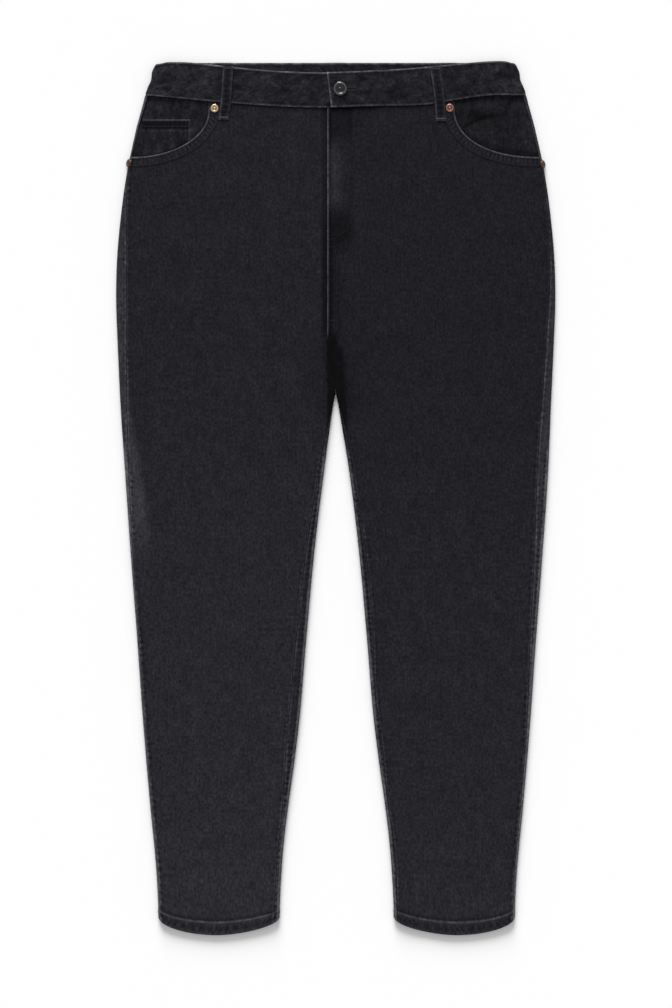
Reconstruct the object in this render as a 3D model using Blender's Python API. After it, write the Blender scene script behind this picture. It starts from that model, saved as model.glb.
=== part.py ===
"""High-waist tapered jeans, laid flat on their back.

Sizes are in millimetres, and MM turns them into Blender's metres. X runs across the
garment, Y up it from the hems to the waist, and Z off the surface that it lies on.
Left and right are the wearer's own: the right leg is at -X and the left leg at +X.
Each side is worked out with x counted outwards from the middle, then placed by its sign.
"""

import math
from collections import namedtuple

import bmesh
import bpy
import numpy as np

MM = 0.001

# Cloth
WALL = 1.2  # denim, with its seam allowances pressed in
HEM_WALL = 2.4  # the turned hem
BAND_WALL = 2.4  # the waistband, two layers
FACING_WALL = 1.0
GAP = 0.3  # between two pieces at a seam
HALF_GAP = GAP / 2
BAND_GAP = 0.5  # between the waistband and what it is sewn to, measured down the garment
UNDER_GAP = 0.45  # between a front and what lies under it

# Folds
FOLD = 3.1  # outer radius of the cloth where it turns over at an edge
BAND_FOLD = 4.0
PUFF = 45.0  # how far in from a fold the cloth stands higher than its middle

# The garment's outline, from above
CROTCH = 126.4  # where the legs part
HEM = -503.6  # the hem's two ends
HEM_SAG = 21.0  # how much lower the middle of a hem is
HEM_DEPTH = 12.0  # the turned hem
SAG_REACH = 70.0  # how far above the hem the rows still follow its curve

OUTLINE = (  # place up the garment, half width
    (524.5, 214.0),
    (511.6, 220.6),
    (502.0, 221.8),
    (492.4, 226.2),
    (482.8, 228.8),
    (446.8, 238.6),
    (403.6, 248.4),
    (334.0, 258.6),
    (286.0, 262.7),
    (238.0, 263.8),
    (190.0, 262.1),
    (118.0, 258.8),
    (22.0, 253.5),
    (-74.0, 246.7),
    (-170.0, 239.4),
    (-266.0, 232.6),
    (-362.0, 224.5),
    (-458.0, 215.7),
    (-525.0, 213.0),
)
BETWEEN_LEGS = (  # place up the garment, half width of the space between the legs
    (CROTCH, HALF_GAP),
    (118.0, 1.9),
    (70.0, 9.7),
    (-2.0, 19.6),
    (-74.0, 27.8),
    (-170.0, 36.5),
    (-266.0, 44.6),
    (-314.0, 50.5),
    (-362.0, 57.2),
    (-410.0, 63.1),
    (-458.0, 66.8),
    (-525.0, 69.6),
)
MIDDLE_HEIGHT = (  # place up the garment, height of the front between the folds
    (484.0, 6.0),
    (400.0, 5.8),
    (240.0, 5.4),
    (200.0, 5.0),
    (126.0, 4.6),
    (0.0, 3.9),
    (-200.0, 3.7),
    (-440.0, 3.9),
    (-494.0, 5.1),
    (-525.0, 5.1),
)

# Seams: place up the garment, distance in from the outline, along the cloth's top
RIGHT_SIDE_SEAM = (
    (484.0, 3.5),
    (409.0, 1.8),
    (395.0, 1.7),
    (382.0, 2.2),
    (365.0, 4.0),
    (334.0, 7.6),
    (286.0, 11.7),
    (238.0, 12.8),
    (190.0, 11.1),
    (118.0, 8.0),
    (22.0, 4.5),
    (-74.0, 2.2),
    (-160.0, 1.9),
    (-340.0, 1.8),
    (-525.0, 1.8),
)
LEFT_SIDE_SEAM = (
    (484.0, 4.5),
    (409.0, 3.2),
    (365.0, 3.5),
    (323.0, 4.8),
    (270.0, 6.2),
    (200.0, 8.9),
    (140.0, 10.2),
    (22.0, 13.0),
    (-50.0, 10.3),
    (-150.0, 7.6),
    (-241.0, 4.8),
    (-288.0, 3.4),
    (-350.0, 2.9),
    (-525.0, 2.4),
)
RIGHT_INSEAM = (
    (CROTCH, 0.0),
    (89.0, 1.9),
    (56.0, 5.2),
    (-3.0, 7.3),
    (-70.0, 10.0),
    (-190.0, 12.5),
    (-246.0, 13.4),
    (-302.0, 11.8),
    (-343.0, 8.3),
    (-385.0, 6.2),
    (-430.0, 6.0),
    (-525.0, 6.6),
)
LEFT_INSEAM = (
    (CROTCH, 0.0),
    (100.0, 2.5),
    (69.0, 4.8),
    (22.0, 4.9),
    (-28.0, 7.2),
    (-150.0, 8.2),
    (-232.0, 4.8),
    (-296.0, 6.4),
    (-367.0, 3.8),
    (-405.0, 5.0),
    (-525.0, 4.0),
)
CENTRE_FRONT = (  # place up the garment, where the two fronts meet across it
    (525.0, -10.4),
    (360.0, -10.4),
    (220.0, -10.4),
    (180.0, -10.4),
    (165.0, -9.0),
    (145.0, -2.0),
    (CROTCH + 6.0, 0.0),
    (CROTCH, 0.0),
)
FRONT_WAIST_SEAM = (  # place across, place up the garment
    (-229.8, 483.0),
    (-221.0, 482.7),
    (-200.0, 480.6),
    (-151.4, 476.0),
    (-14.2, 468.4),
    (51.0, 470.4),
    (116.2, 472.8),
    (142.8, 477.4),
    (190.6, 483.4),
    (221.0, 483.1),
    (229.8, 483.0),
)
FRONT_TOP = (  # place across, place up the garment
    (-215.0, 522.4),
    (-192.8, 523.6),
    (-155.0, 521.3),
    (-135.6, 519.0),
    (-12.4, 511.2),
    (49.1, 513.6),
    (112.4, 518.2),
    (152.0, 522.0),
    (201.6, 524.5),
    (215.0, 523.4),
)
BACK_WAIST_SEAM = ((0.0, 477.0), (120.0, 479.0), (221.0, 482.7), (229.8, 483.0))  # place out, place up
BACK_TOP = 523.1
TOP_DIP = 1.5  # how much lower the band's top edge is at its fold
YOKE_SEAM = ((0.0, 416.0), (250.0, 447.0))  # place out, place up the garment
YOKE_SIDE = 445.0  # up the garment, where it crosses the side fold

# The fly: the left front laps over the right one, and stands higher there
FLY_RISE = 1.3
FLY_FLAT = 25.0  # across, to where the rise is full
FLY_END = 48.0  # and to where it has gone
FLY_LOW = (200.0, 250.0)  # up the garment, from no rise to the full rise
SHIELD = (-36.0, 44.0, 232.0, 463.0)  # left, right, bottom and top of the piece under it

# The waistband's lap
FLAP_END = (-5.6, -11.0)  # place across of its end, at the bottom and the top
FLAP_LIFT = 2.7
FLAP_FLAT = 30.0
FLAP_DOWN = 60.0
UNDERLAP_END = 28.0
BAND_RISE = 1.0  # how much higher the band's face is than the fronts'

# Pockets and loops
Pocket = namedtuple("Pocket", "centre_x centre_y across down power")
RIGHT_POCKET = Pocket(245.4, 464.8, 92.6, 55.2, 2.0)
LEFT_POCKET = Pocket(244.1, 468.4, 101.3, 58.8, 2.2)
FACING_REACH = 19.0  # how far a facing goes on under its front
COIN_POCKET = (174.5, 231.8, 454.8)  # inner side, outer side and top
COIN_CLEAR = 1.2  # between it and the edge of the front
BACK_POCKET = (68.0, 212.0, 398.0)  # inner side, outer side and top
BACK_POCKET_TAPER = 7.0
BACK_POCKET_SIDES = 268.0  # the lower end of its sides
BACK_POCKET_POINT = 243.0
LOOP_WIDTH = 12.4
LOOP_WALL = 1.2
LOOP_BULGE = 0.9
FRONT_LOOPS = {  # top across and up, bottom across and up
    "right": (-128.4, 518.4, -134.4, 454.0),
    "left": (119.9, 517.8, 126.4, 452.4),
}
BACK_LOOPS = {"back_right": -135.0, "back_centre": 0.0, "back_left": 135.0}
BACK_LOOP_SPAN = (466.0, 521.0)
PAD_LIFT = 1.5  # how far what lies over a back pocket or loop is lifted
POCKET_RAMP = 10.0
LOOP_RAMP = 8.0
PAD_ROOM = 0.8

# Metal
BUTTON_PLACE = (5.4, 490.7)
BUTTON_PROFILE = (  # radius, height
    (0.0, 3.3),
    (1.5, 3.2),
    (2.0, 2.5),
    (4.8, 2.4),
    (5.6, 3.2),
    (7.3, 3.3),
    (8.25, 2.6),
    (8.25, 1.8),
    (6.4, 1.0),
    (3.2, 0.9),
    (3.2, 0.0),
    (0.0, 0.0),
)
RIVET_PROFILE = (  # radius, height
    (0.0, 1.7),
    (1.5, 1.5),
    (2.3, 0.9),
    (4.0, 1.2),
    (4.9, 0.4),
    (4.9, 0.0),
    (0.0, 0.0),
)
TOP_RIVETS = {"right": (-145.4, 468.0), "left": (136.9, 468.4)}
SIDE_RIVETS = {"right": (-1, 402.4), "left": (1, 401.0)}  # sign of the side, place up
SIDE_RIVET_TILT = 35.0  # degrees that it faces up from the side

# Grids: rows up the legs, and fractions across a front from its middle to its side
LEG_ROWS = (-455, -390, -320, -250, -180, -110, -40, 20, 60, 90, 110, 120)
CROTCH_ROWS = (CROTCH, 130, 138, 165)
FRONT_ROWS = (200, 232, 242, 285, 325, 365)
BACK_ROWS = (*FRONT_ROWS, 383, 399, 409)
TOP_STEPS = (0.4, 0.76, 1.0)
FRONT_COLUMNS = (0.0, 0.03, 0.1, 0.17, 0.25, 0.34, 0.43, 0.52)
POCKET_CORNER = 0.595
POCKET_COLUMNS = 6
EDGE_COLUMN = 3.5
WRAP_STEPS = 6
BACK_COLUMNS = (30.0, 57.0, 67.0, 115.0, 165.0, 213.0, 223.0)
BACK_COLUMNS_FROM = 232.0  # below this the columns spread over the leg
BACK_COLUMNS_SPREAD = 150.0

Side = namedtuple("Side", "name sign side_seam inseam pocket")
RIGHT = Side("right", -1, RIGHT_SIDE_SEAM, RIGHT_INSEAM, RIGHT_POCKET)
LEFT = Side("left", 1, LEFT_SIDE_SEAM, LEFT_INSEAM, LEFT_POCKET)


def smooth(table, at):
    """The smooth curve through a table's rows of place and value, read at a place."""
    places, values = np.array(sorted(table)).T
    slopes = np.gradient(values, places)
    at = np.clip(at, places[0], places[-1])
    row = np.clip(np.searchsorted(places, at) - 1, 0, len(places) - 2)
    step = places[row + 1] - places[row]
    t = (at - places[row]) / step
    start = values[row] * (1 + 2 * t) * (1 - t) ** 2 + slopes[row] * step * t * (1 - t) ** 2
    end = values[row + 1] * t * t * (3 - 2 * t) + slopes[row + 1] * step * t * t * (t - 1)
    return start + end


def straight(table, at):
    """The straight lines through a table's rows of place and value, read at a place."""
    places, values = np.array(sorted(table)).T
    return np.interp(at, places, values)


def ease(start, end, at):
    """From 0 at start to 1 at end, level at both."""
    t = np.clip((at - start) / (end - start), 0.0, 1.0)
    return t * t * (3 - 2 * t)


def outer_edge(y):
    return smooth(OUTLINE, y)


def inner_edge(y):
    return smooth(BETWEEN_LEGS, y)


def hem_sag(x, y):
    """How much lower a row runs at a place than at its ends, near the hem."""
    outer, inner = outer_edge(y), inner_edge(y)
    across = (2 * x - outer - inner) / (outer - inner)
    share = np.clip((HEM + SAG_REACH - y) / SAG_REACH, 0.0, 1.0)
    tilt = 1 + 0.17 * np.minimum(across, 0.0)
    return HEM_SAG * share * tilt * np.clip(1 - abs(across) ** 2.1, 0.0, 1.0) ** 0.6


def pads():
    """The places on the floor side that carry a piece: middle, half width, span, ramp."""
    inner, outer, top = BACK_POCKET
    middle, half = (inner + outer) / 2, (outer - inner) / 2 + PAD_ROOM
    span = (BACK_POCKET_POINT - PAD_ROOM, top + PAD_ROOM)
    found = [(sign * middle, half, span, POCKET_RAMP) for sign in (-1, 1)]
    half = LOOP_WIDTH / 2 + PAD_ROOM
    span = (BACK_LOOP_SPAN[0] - PAD_ROOM, BACK_TOP + LOOP_RAMP)
    return found + [(x, half, span, LOOP_RAMP) for x in BACK_LOOPS.values()]


def floor_height(x, y):
    """Height of the garment's underside, which is lifted over the back pockets and loops."""
    height = np.zeros(np.broadcast(x, y).shape)
    for middle, half, (low, high), ramp in pads():
        beside = (half + ramp - abs(x - middle)) / ramp
        below = (y - low + ramp) / ramp
        above = (high + ramp - y) / ramp
        share = np.clip(np.minimum(np.minimum(beside, below), above), 0.0, 1.0)
        height = np.maximum(height, PAD_LIFT * share)
    return height


def edge_distance(x, y):
    """Distance in from the nearest fold, and the direction in from it across and up."""
    outward = outer_edge(y) - x
    split = y < CROTCH
    across = np.where(split, x - inner_edge(y), np.maximum(abs(x) - HALF_GAP, 0.0))
    up = np.where(split, 0.0, y - CROTCH)
    inward = np.hypot(across, up)
    nearer = outward < inward
    length = np.maximum(inward, 1e-9)
    toward_x = np.where(nearer, -1.0, across / length)
    toward_y = np.where(nearer, 0.0, up / length)
    at_crotch = ~nearer & (inward < 1e-6)
    toward_x = np.where(at_crotch, 1.0, toward_x)
    return np.minimum(outward, inward), toward_x, toward_y


def fly_rise(side, x, y):
    """How much higher the left front stands over the fly."""
    across = 1 - ease(FLY_FLAT, FLY_END, x)
    return FLY_RISE * across * ease(*FLY_LOW, y) * (side.sign > 0)


def front_height(side, x, y):
    """Height of the fronts' face, away from the roll at a fold."""
    distance, _, _ = edge_distance(x, y)
    puff = 1 - ease(FOLD, PUFF, distance)
    middle = smooth(MIDDLE_HEIGHT, y)
    return middle + (2 * FOLD - middle) * puff + fly_rise(side, x, y)


def lean(y):
    """How far the legs lie over to the left."""
    return 1.15 * (1 - ease(20.0, 120.0, y))


def placed(side, x, y, z):
    return np.stack(np.broadcast_arrays(side.sign * x + lean(y), y, z), axis=-1)


def skin(side, x, y, upper, wall):
    """Outer and inner points of the cloth at places from above, on its upper or floor side."""
    distance, toward_x, toward_y = edge_distance(x, y)
    turn = np.clip(FOLD - distance, 0.0, FOLD)
    roll = np.sqrt(1 - (turn / FOLD) ** 2)
    top = front_height(side, x, y)
    low = floor_height(side.sign * x, y)
    face = np.where(upper, FOLD + (top - FOLD) * roll, FOLD - (FOLD - low) * roll)
    flat = face + np.where(upper, -wall, wall)
    curved = face + (FOLD - face) * wall / FOLD
    inner_z = np.where(turn > 0, curved, flat)
    shift = turn * wall / FOLD
    drop = hem_sag(x, y)
    outer = placed(side, x, y - drop, face)
    inner = placed(side, x + toward_x * shift, y + toward_y * shift - drop, inner_z)
    return outer, inner


def wall_at(y):
    return np.where(y <= HEM + HEM_DEPTH + 0.1, HEM_WALL, WALL)


def rows_up_to_crotch():
    hem_top = HEM + HEM_DEPTH
    return [HEM, hem_top, hem_top + 1.0, *LEG_ROWS]


def arc_of(distance):
    """Length along the cloth's top from a fold's outermost line to a seam this far in."""
    inside = FOLD * np.arccos(np.clip(1 - distance / FOLD, -1.0, 1.0))
    return np.where(distance < FOLD, inside, FOLD * math.pi / 2 + distance - FOLD)


def distance_of(arc):
    """The other way round: distance in from the outline, from a length along the cloth."""
    length = abs(arc)
    inside = FOLD * (1 - np.cos(np.minimum(length / FOLD, math.pi / 2)))
    return inside + np.maximum(length - FOLD * math.pi / 2, 0.0)


def wrap_arcs(seam):
    """Lengths along a fold from a seam on the top to where the cloth is flat on the floor."""
    quarter = FOLD * math.pi / 2
    second = min(seam - (seam + quarter) / WRAP_STEPS, quarter)
    return [seam, *np.linspace(second, -quarter, WRAP_STEPS)]


def grid_object(name, outer, inner, material):
    """A closed solid between two grids of points of the same size."""
    mesh = bmesh.new()
    rows, columns = outer.shape[:2]
    faces = [[[mesh.verts.new(p * MM) for p in row] for row in grid] for grid in (outer, inner)]
    for grid in faces:
        for i in range(rows - 1):
            for j in range(columns - 1):
                corners = (grid[i][j], grid[i][j + 1], grid[i + 1][j + 1], grid[i + 1][j])
                mesh.faces.new(corners)
    rim = [(0, j) for j in range(columns)]
    rim += [(i, columns - 1) for i in range(1, rows)]
    rim += [(rows - 1, j) for j in range(columns - 2, -1, -1)]
    rim += [(i, 0) for i in range(rows - 2, 0, -1)]
    for (i, j), (k, m) in zip(rim, rim[1:] + rim[:1]):
        mesh.faces.new((faces[0][i][j], faces[0][k][m], faces[1][k][m], faces[1][i][j]))
    bmesh.ops.recalc_face_normals(mesh, faces=mesh.faces)
    return mesh_object(name, mesh, material)


def mesh_object(name, mesh, material):
    data = bpy.data.meshes.new(name)
    mesh.to_mesh(data)
    mesh.free()
    data.shade_smooth()
    data.set_sharp_from_angle(angle=math.radians(40))
    data.materials.append(material)
    made = bpy.data.objects.new(name, data)
    bpy.context.scene.collection.objects.link(made)
    return made


def new_material(name, colour, roughness, metallic=0.0):
    made = bpy.data.materials.new(name)
    made.use_nodes = True
    shader = made.node_tree.nodes["Principled BSDF"]
    shader.inputs["Base Color"].default_value = (*colour, 1.0)
    shader.inputs["Roughness"].default_value = roughness
    shader.inputs["Metallic"].default_value = metallic
    return made


def clear_scene():
    for old in list(bpy.data.objects):
        bpy.data.objects.remove(old)


def pocket_edge(pocket, x):
    """Height up the garment of a pocket's opening at a place out from the middle."""
    share = np.clip((pocket.centre_x - x) / pocket.across, 0.0, 1.0)
    return pocket.centre_y - pocket.down * (1 - share**pocket.power) ** (1 / pocket.power)


def front_seam_x(side, y):
    """A front's edge at its side seam, out from the middle."""
    return outer_edge(y) - distance_of(arc_of(smooth(side.side_seam, y)) + HALF_GAP)


def front_middle_x(side, y):
    """A front's other edge: the middle, or the inseam below the crotch."""
    above = side.sign * smooth(CENTRE_FRONT, y) + HALF_GAP
    below = inner_edge(y) + distance_of(arc_of(smooth(side.inseam, y)) + HALF_GAP)
    return np.where(y < CROTCH, below, above)


def front_waist(side, x):
    return smooth(FRONT_WAIST_SEAM, side.sign * x)


def pocket_mouth(side):
    """Where a pocket's opening meets the side seam, out from the middle and up."""
    y = side.pocket.centre_y - side.pocket.down
    return front_seam_x(side, y), y


def front_tops(side):
    """The top end of each of a front's columns, from the middle to the side."""
    corner = side.pocket.centre_x - side.pocket.across
    middle = float(front_middle_x(side, FRONT_WAIST_SEAM[3][1]))
    found = []
    for share in (*FRONT_COLUMNS, POCKET_CORNER):
        x = middle + (corner - middle) * share / POCKET_CORNER
        found.append((x, float(front_waist(side, x)) - BAND_GAP / 2))
    mouth_x, mouth_y = pocket_mouth(side)
    reach = side.pocket.centre_x - corner
    for k in range(1, POCKET_COLUMNS):
        x = side.pocket.centre_x - reach * math.cos(math.pi / 2 * k / POCKET_COLUMNS)
        found.append((x, float(pocket_edge(side.pocket, x))))
    edge = mouth_x - EDGE_COLUMN
    found += [(edge, float(pocket_edge(side.pocket, edge))), (mouth_x, mouth_y)]
    return found


def front_plan(side):
    """Places from above of a front's grid, as rows of x and rows of y."""
    tops = front_tops(side)
    spread = [POCKET_CORNER + (0.97 - POCKET_CORNER) * k / POCKET_COLUMNS for k in range(1, 6)]
    shares = [*FRONT_COLUMNS, POCKET_CORNER, *spread]
    xs, ys = [], []
    for y in (*rows_up_to_crotch(), *CROTCH_ROWS, *FRONT_ROWS):
        middle, seam = float(front_middle_x(side, y)), float(front_seam_x(side, y))
        row = [middle + (seam - middle) * share for share in shares]
        xs.append([*row, seam - EDGE_COLUMN, seam])
        ys.append([float(y)] * len(xs[-1]))
    base_x, base_y = xs[-1], ys[-1]
    for step in TOP_STEPS:
        xs.append([a + (x - a) * step for a, (x, _) in zip(base_x, tops)])
        ys.append([a + (y - a) * step for a, (_, y) in zip(base_y, tops)])
        xs[-1][-1] = float(front_seam_x(side, ys[-1][-1]))
        xs[-1][-2] = xs[-1][-1] - EDGE_COLUMN
    return np.array(xs), np.array(ys)


def make_front(side, material):
    x, y = front_plan(side)
    outer, inner = skin(side, x, y, True, wall_at(y))
    return grid_object(f"front_{side.name}", outer, inner, material)


def back_columns(y):
    """Places out from the middle of a back's flat columns at one height."""
    low = float(inner_edge(y)) + FOLD if y < CROTCH else HALF_GAP + FOLD
    high = float(outer_edge(y)) - FOLD
    share = float(ease(BACK_COLUMNS_SPREAD, BACK_COLUMNS_FROM, y))
    reference = float(outer_edge(BACK_COLUMNS_FROM)) - FOLD
    spread = [low + (high - low) * (c - FOLD) / (reference - FOLD) for c in BACK_COLUMNS]
    return [s + (c - s) * share for s, c in zip(spread, BACK_COLUMNS)]


def outer_wrap(side, y):
    """Places and sides of the cloth over the outer fold, from the floor to the side seam."""
    arcs = wrap_arcs(float(arc_of(smooth(side.side_seam, y))) - HALF_GAP)[::-1]
    edge = float(outer_edge(y))
    return [(edge - float(distance_of(a)), a > 0) for a in arcs]


def inner_wrap(side, y):
    """Places and sides of the cloth from the inseam over the inner fold to the floor."""
    if y <= CROTCH:
        arcs = wrap_arcs(float(arc_of(smooth(side.inseam, y))) - HALF_GAP)
        return [(float(inner_edge(y)) + float(distance_of(a)), a > 0) for a in arcs]
    arcs = wrap_arcs(-HALF_GAP)
    first = float(distance_of(arcs[0]))
    return [(HALF_GAP + float(distance_of(a)) - first, False) for a in arcs]


def make_back(side, material):
    xs, ys, uppers = [], [], []
    for y in (*rows_up_to_crotch(), *CROTCH_ROWS, *BACK_ROWS, None):
        reference = YOKE_SIDE if y is None else y
        flat = [(x, False) for x in back_columns(reference)]
        places = inner_wrap(side, reference) + flat + outer_wrap(side, reference)
        x = np.array([place for place, _ in places])
        up = np.full(len(x), float(reference))
        if y is None:
            up = straight(YOKE_SEAM, x) - HALF_GAP
        xs.append(x)
        ys.append(up)
        uppers.append([upper for _, upper in places])
    x, y = np.array(xs), np.array(ys)
    outer, inner = skin(side, x, y, np.array(uppers), wall_at(y))
    return grid_object(f"back_{side.name}", outer, inner, material)


def loop_columns():
    """Places across where the underside's ramps beside the back loops begin and end."""
    half = LOOP_WIDTH / 2 + PAD_ROOM
    beside = max(BACK_LOOPS.values())
    around = [beside + sign * half + sign * ramp for sign in (-1, 1) for ramp in (0, LOOP_RAMP)]
    return sorted([half, half + LOOP_RAMP, *around])


def make_yoke(side, material):
    columns = [HALF_GAP, *loop_columns()]
    columns += [90.0, 185.0, 215.0]
    xs, ys, uppers = [], [], []
    low = BACK_LOOP_SPAN[0] - PAD_ROOM
    for step, level in enumerate((None, low - LOOP_RAMP, low, None)):
        flat = [(x, False) for x in sorted(columns)]
        y_side = level or (YOKE_SIDE if step == 0 else 482.0)
        places = flat + outer_wrap(side, y_side)
        x = np.array([place for place, _ in places])
        if step == 0:
            y = straight(YOKE_SEAM, x) + HALF_GAP
        elif level is None:
            y = smooth(BACK_WAIST_SEAM, x) - BAND_GAP / 2
        else:
            y = np.full(len(x), level)
        xs.append(x)
        ys.append(y)
        uppers.append([upper for _, upper in places])
    x, y = np.array(xs), np.array(ys)
    outer, inner = skin(side, x, y, np.array(uppers), WALL)
    return grid_object(f"yoke_{side.name}", outer, inner, material)


def make_facing(side, material):
    """The cloth that shows inside a front pocket's opening, and goes on under the front."""
    pocket = side.pocket
    reach_x, reach_y = pocket.across + FACING_REACH, pocket.down + FACING_REACH
    xs, ys = [], []
    for k in range(9):
        turn = math.pi / 2 * k / 8
        x = pocket.centre_x - reach_x * math.cos(turn)
        bottom = pocket.centre_y - reach_y * math.sin(turn)
        edge = float(outer_edge(bottom)) - FOLD - GAP
        top = float(front_waist(side, x)) - BAND_GAP / 2
        heights = np.linspace(bottom, top, 5)
        limit = outer_edge(heights) - FOLD - GAP
        xs.append(np.minimum(x, limit) if x < edge else limit)
        ys.append(heights)
    x, y = np.array(xs), np.array(ys)
    z = front_height(side, x, y) - WALL - UNDER_GAP
    outer = placed(side, x, y, z)
    inner = placed(side, x, y, z - FACING_WALL)
    return grid_object(f"pocket_facing_{side.name}", outer, inner, material)


def make_coin_pocket(material):
    inner_side, outer_side, top = COIN_POCKET
    x = np.linspace(inner_side, outer_side, 5)[:, None] * np.ones(4)
    bottom = pocket_edge(RIGHT_POCKET, x[:, :1]) + COIN_CLEAR
    y = bottom + (top - bottom) * np.linspace(0.0, 1.0, 4)
    z = front_height(RIGHT, x, y) - WALL - UNDER_GAP + GAP
    outer = placed(RIGHT, x, y, z + FACING_WALL)
    inner = placed(RIGHT, x, y, z)
    return grid_object("coin_pocket", outer, inner, material)


def make_fly_shield(material):
    left, right, bottom, top = SHIELD
    x = np.linspace(left, right, 6)[:, None] * np.ones(6)
    y = np.linspace(bottom, top, 6)[None, :] * np.ones((6, 1))
    z = smooth(MIDDLE_HEIGHT, y) - WALL - UNDER_GAP
    outer = placed(LEFT, x, y, z)
    inner = placed(LEFT, x, y, z - WALL)
    return grid_object("fly_shield", outer, inner, material)


def band_height(x, lap):
    """Height of the waistband's front face, on its lap or beside it."""
    inward = float(outer_edge(500.0)) - abs(x)
    middle = MIDDLE_HEIGHT[0][1] + BAND_RISE
    puff = 1 - ease(BAND_FOLD, PUFF, inward)
    lift = FLAP_LIFT * (1 - ease(FLAP_FLAT, FLAP_DOWN, x)) * lap
    return middle + (2 * BAND_FOLD - middle) * puff + lift


def band_edges(x, upper):
    """The waistband's lower and upper edges at a place across."""
    dip = TOP_DIP * ease(200.0, 226.0, abs(x)) ** 2
    if upper:
        return smooth(FRONT_WAIST_SEAM, x) + BAND_GAP / 2, smooth(FRONT_TOP, x) - dip
    low = smooth(BACK_WAIST_SEAM, abs(x)) + BAND_GAP / 2
    return low, BACK_TOP - dip


def band_flat(x, upper, lap, share, wall):
    """A point of the waistband between its folds, this share of the way up it."""
    low, high = band_edges(x, upper)
    y = low + (high - low) * share
    if upper:
        return x, y, band_height(x, lap) - wall
    return x, y, floor_height(x, y) + wall


def band_fold(sign, turn, share, wall):
    """A point of the waistband on a fold, turned from facing up (90) to facing down (-90)."""
    side_x = sign * 221.0
    front, back = band_edges(side_x, True), band_edges(side_x, False)
    mix = (1 + math.sin(math.radians(turn))) / 2
    low = back[0] + (front[0] - back[0]) * mix
    high = back[1] + (front[1] - back[1]) * mix
    y = low + (high - low) * share
    radius = BAND_FOLD - wall
    x = outer_edge(y) - BAND_FOLD + radius * math.cos(math.radians(turn))
    return sign * x, y, BAND_FOLD + radius * math.sin(math.radians(turn))


def band_stations(share):
    """Functions for the points round the band, from the flap's end to the underlap's end."""
    end = FLAP_END[0] + (FLAP_END[1] - FLAP_END[0]) * share
    flap = [end, 10.0, FLAP_FLAT, 45.0, FLAP_DOWN, 85.0, 110.0, 130.0, 150.0, 170.0, 190.0, 207.0]
    floor = [0.0, 55.0, 90.0, 170.0, 195.0, *loop_columns()]
    under = [-x for x in flap[:3:-1]] + [-45.0, -20.0, 0.0, UNDERLAP_END]
    turns = (90, 60, 30, 0, -30, -60, -90)
    found = [(band_flat, (x, True, x < FLAP_DOWN)) for x in flap]
    found += [(band_fold, (1, turn)) for turn in turns]
    across = sorted({-x for x in floor} | set(floor), reverse=True)
    found += [(band_flat, (x, False, False)) for x in across]
    found += [(band_fold, (-1, turn)) for turn in turns[::-1]]
    found += [(band_flat, (x, True, False)) for x in under]
    return found


def make_waistband(material):
    shares = np.linspace(0.0, 1.0, 4)
    grids = []
    for wall in (0.0, BAND_WALL):
        rows = [[place(*at, share, wall) for place, at in band_stations(share)] for share in shares]
        grids.append(np.array(rows, dtype=float))
    return grid_object("waistband", grids[0], grids[1], material)


def make_front_loop(name, ends, material):
    """A belt loop over the front of the waistband, sewn down at both ends."""
    top_x, top_y, low_x, low_y = ends
    side = LEFT if top_x > 0 else RIGHT
    seam = float(front_waist(side, abs(top_x)))
    outer, inner = [], []
    for y in (low_y, low_y + 8.0, seam - 3.0, seam + 8.0, (seam + top_y) / 2, top_y - 8.0, top_y):
        share = (y - low_y) / (top_y - low_y)
        middle = low_x + (top_x - low_x) * share
        cloth = float(front_height(side, abs(middle), y))
        if y > low_y + 8.0:
            cloth = float(band_height(middle, False))
        z = cloth + GAP + LOOP_BULGE * float(ease(seam, seam + 20, y) * ease(top_y, top_y - 20, y))
        xs = [middle + LOOP_WIDTH / 2 * across for across in (-1, 0, 1)]
        inner.append([(x, y, z) for x in xs])
        outer.append([(x, y, z + LOOP_WALL) for x in xs])
    return grid_object(f"belt_loop_{name}", np.array(outer), np.array(inner), material)


def make_back_loop(name, middle, material):
    low, high = BACK_LOOP_SPAN
    x = middle + LOOP_WIDTH / 2 * np.array([-1.0, 0.0, 1.0])[:, None] * np.ones(3)
    y = np.linspace(low, high, 3)[None, :] * np.ones((3, 1))
    outer = np.stack([x, y, np.zeros_like(x)], axis=-1)
    inner = np.stack([x, y, np.full_like(x, LOOP_WALL)], axis=-1)
    return grid_object(f"belt_loop_{name}", outer, inner, material)


def make_back_pocket(side, material):
    """A back pocket on the floor side, with its lower edge drawn to a point."""
    inner_side, outer_side, top = BACK_POCKET
    middle, half = (inner_side + outer_side) / 2, (outer_side - inner_side) / 2
    xs, ys = [], []
    for across in (-1.0, -0.5, 0.0, 0.5, 1.0):
        bottom = BACK_POCKET_POINT + (BACK_POCKET_SIDES - BACK_POCKET_POINT) * abs(across)
        heights = np.linspace(bottom, top, 4)
        narrow = BACK_POCKET_TAPER * (top - heights) / (top - BACK_POCKET_SIDES)
        xs.append(middle + across * (half - narrow))
        ys.append(heights)
    x, y = np.array(xs), np.array(ys)
    outer = placed(side, x, y, np.zeros_like(x))
    inner = placed(side, x, y, np.full_like(x, WALL))
    return grid_object(f"back_pocket_{side.name}", outer, inner, material)


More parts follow.
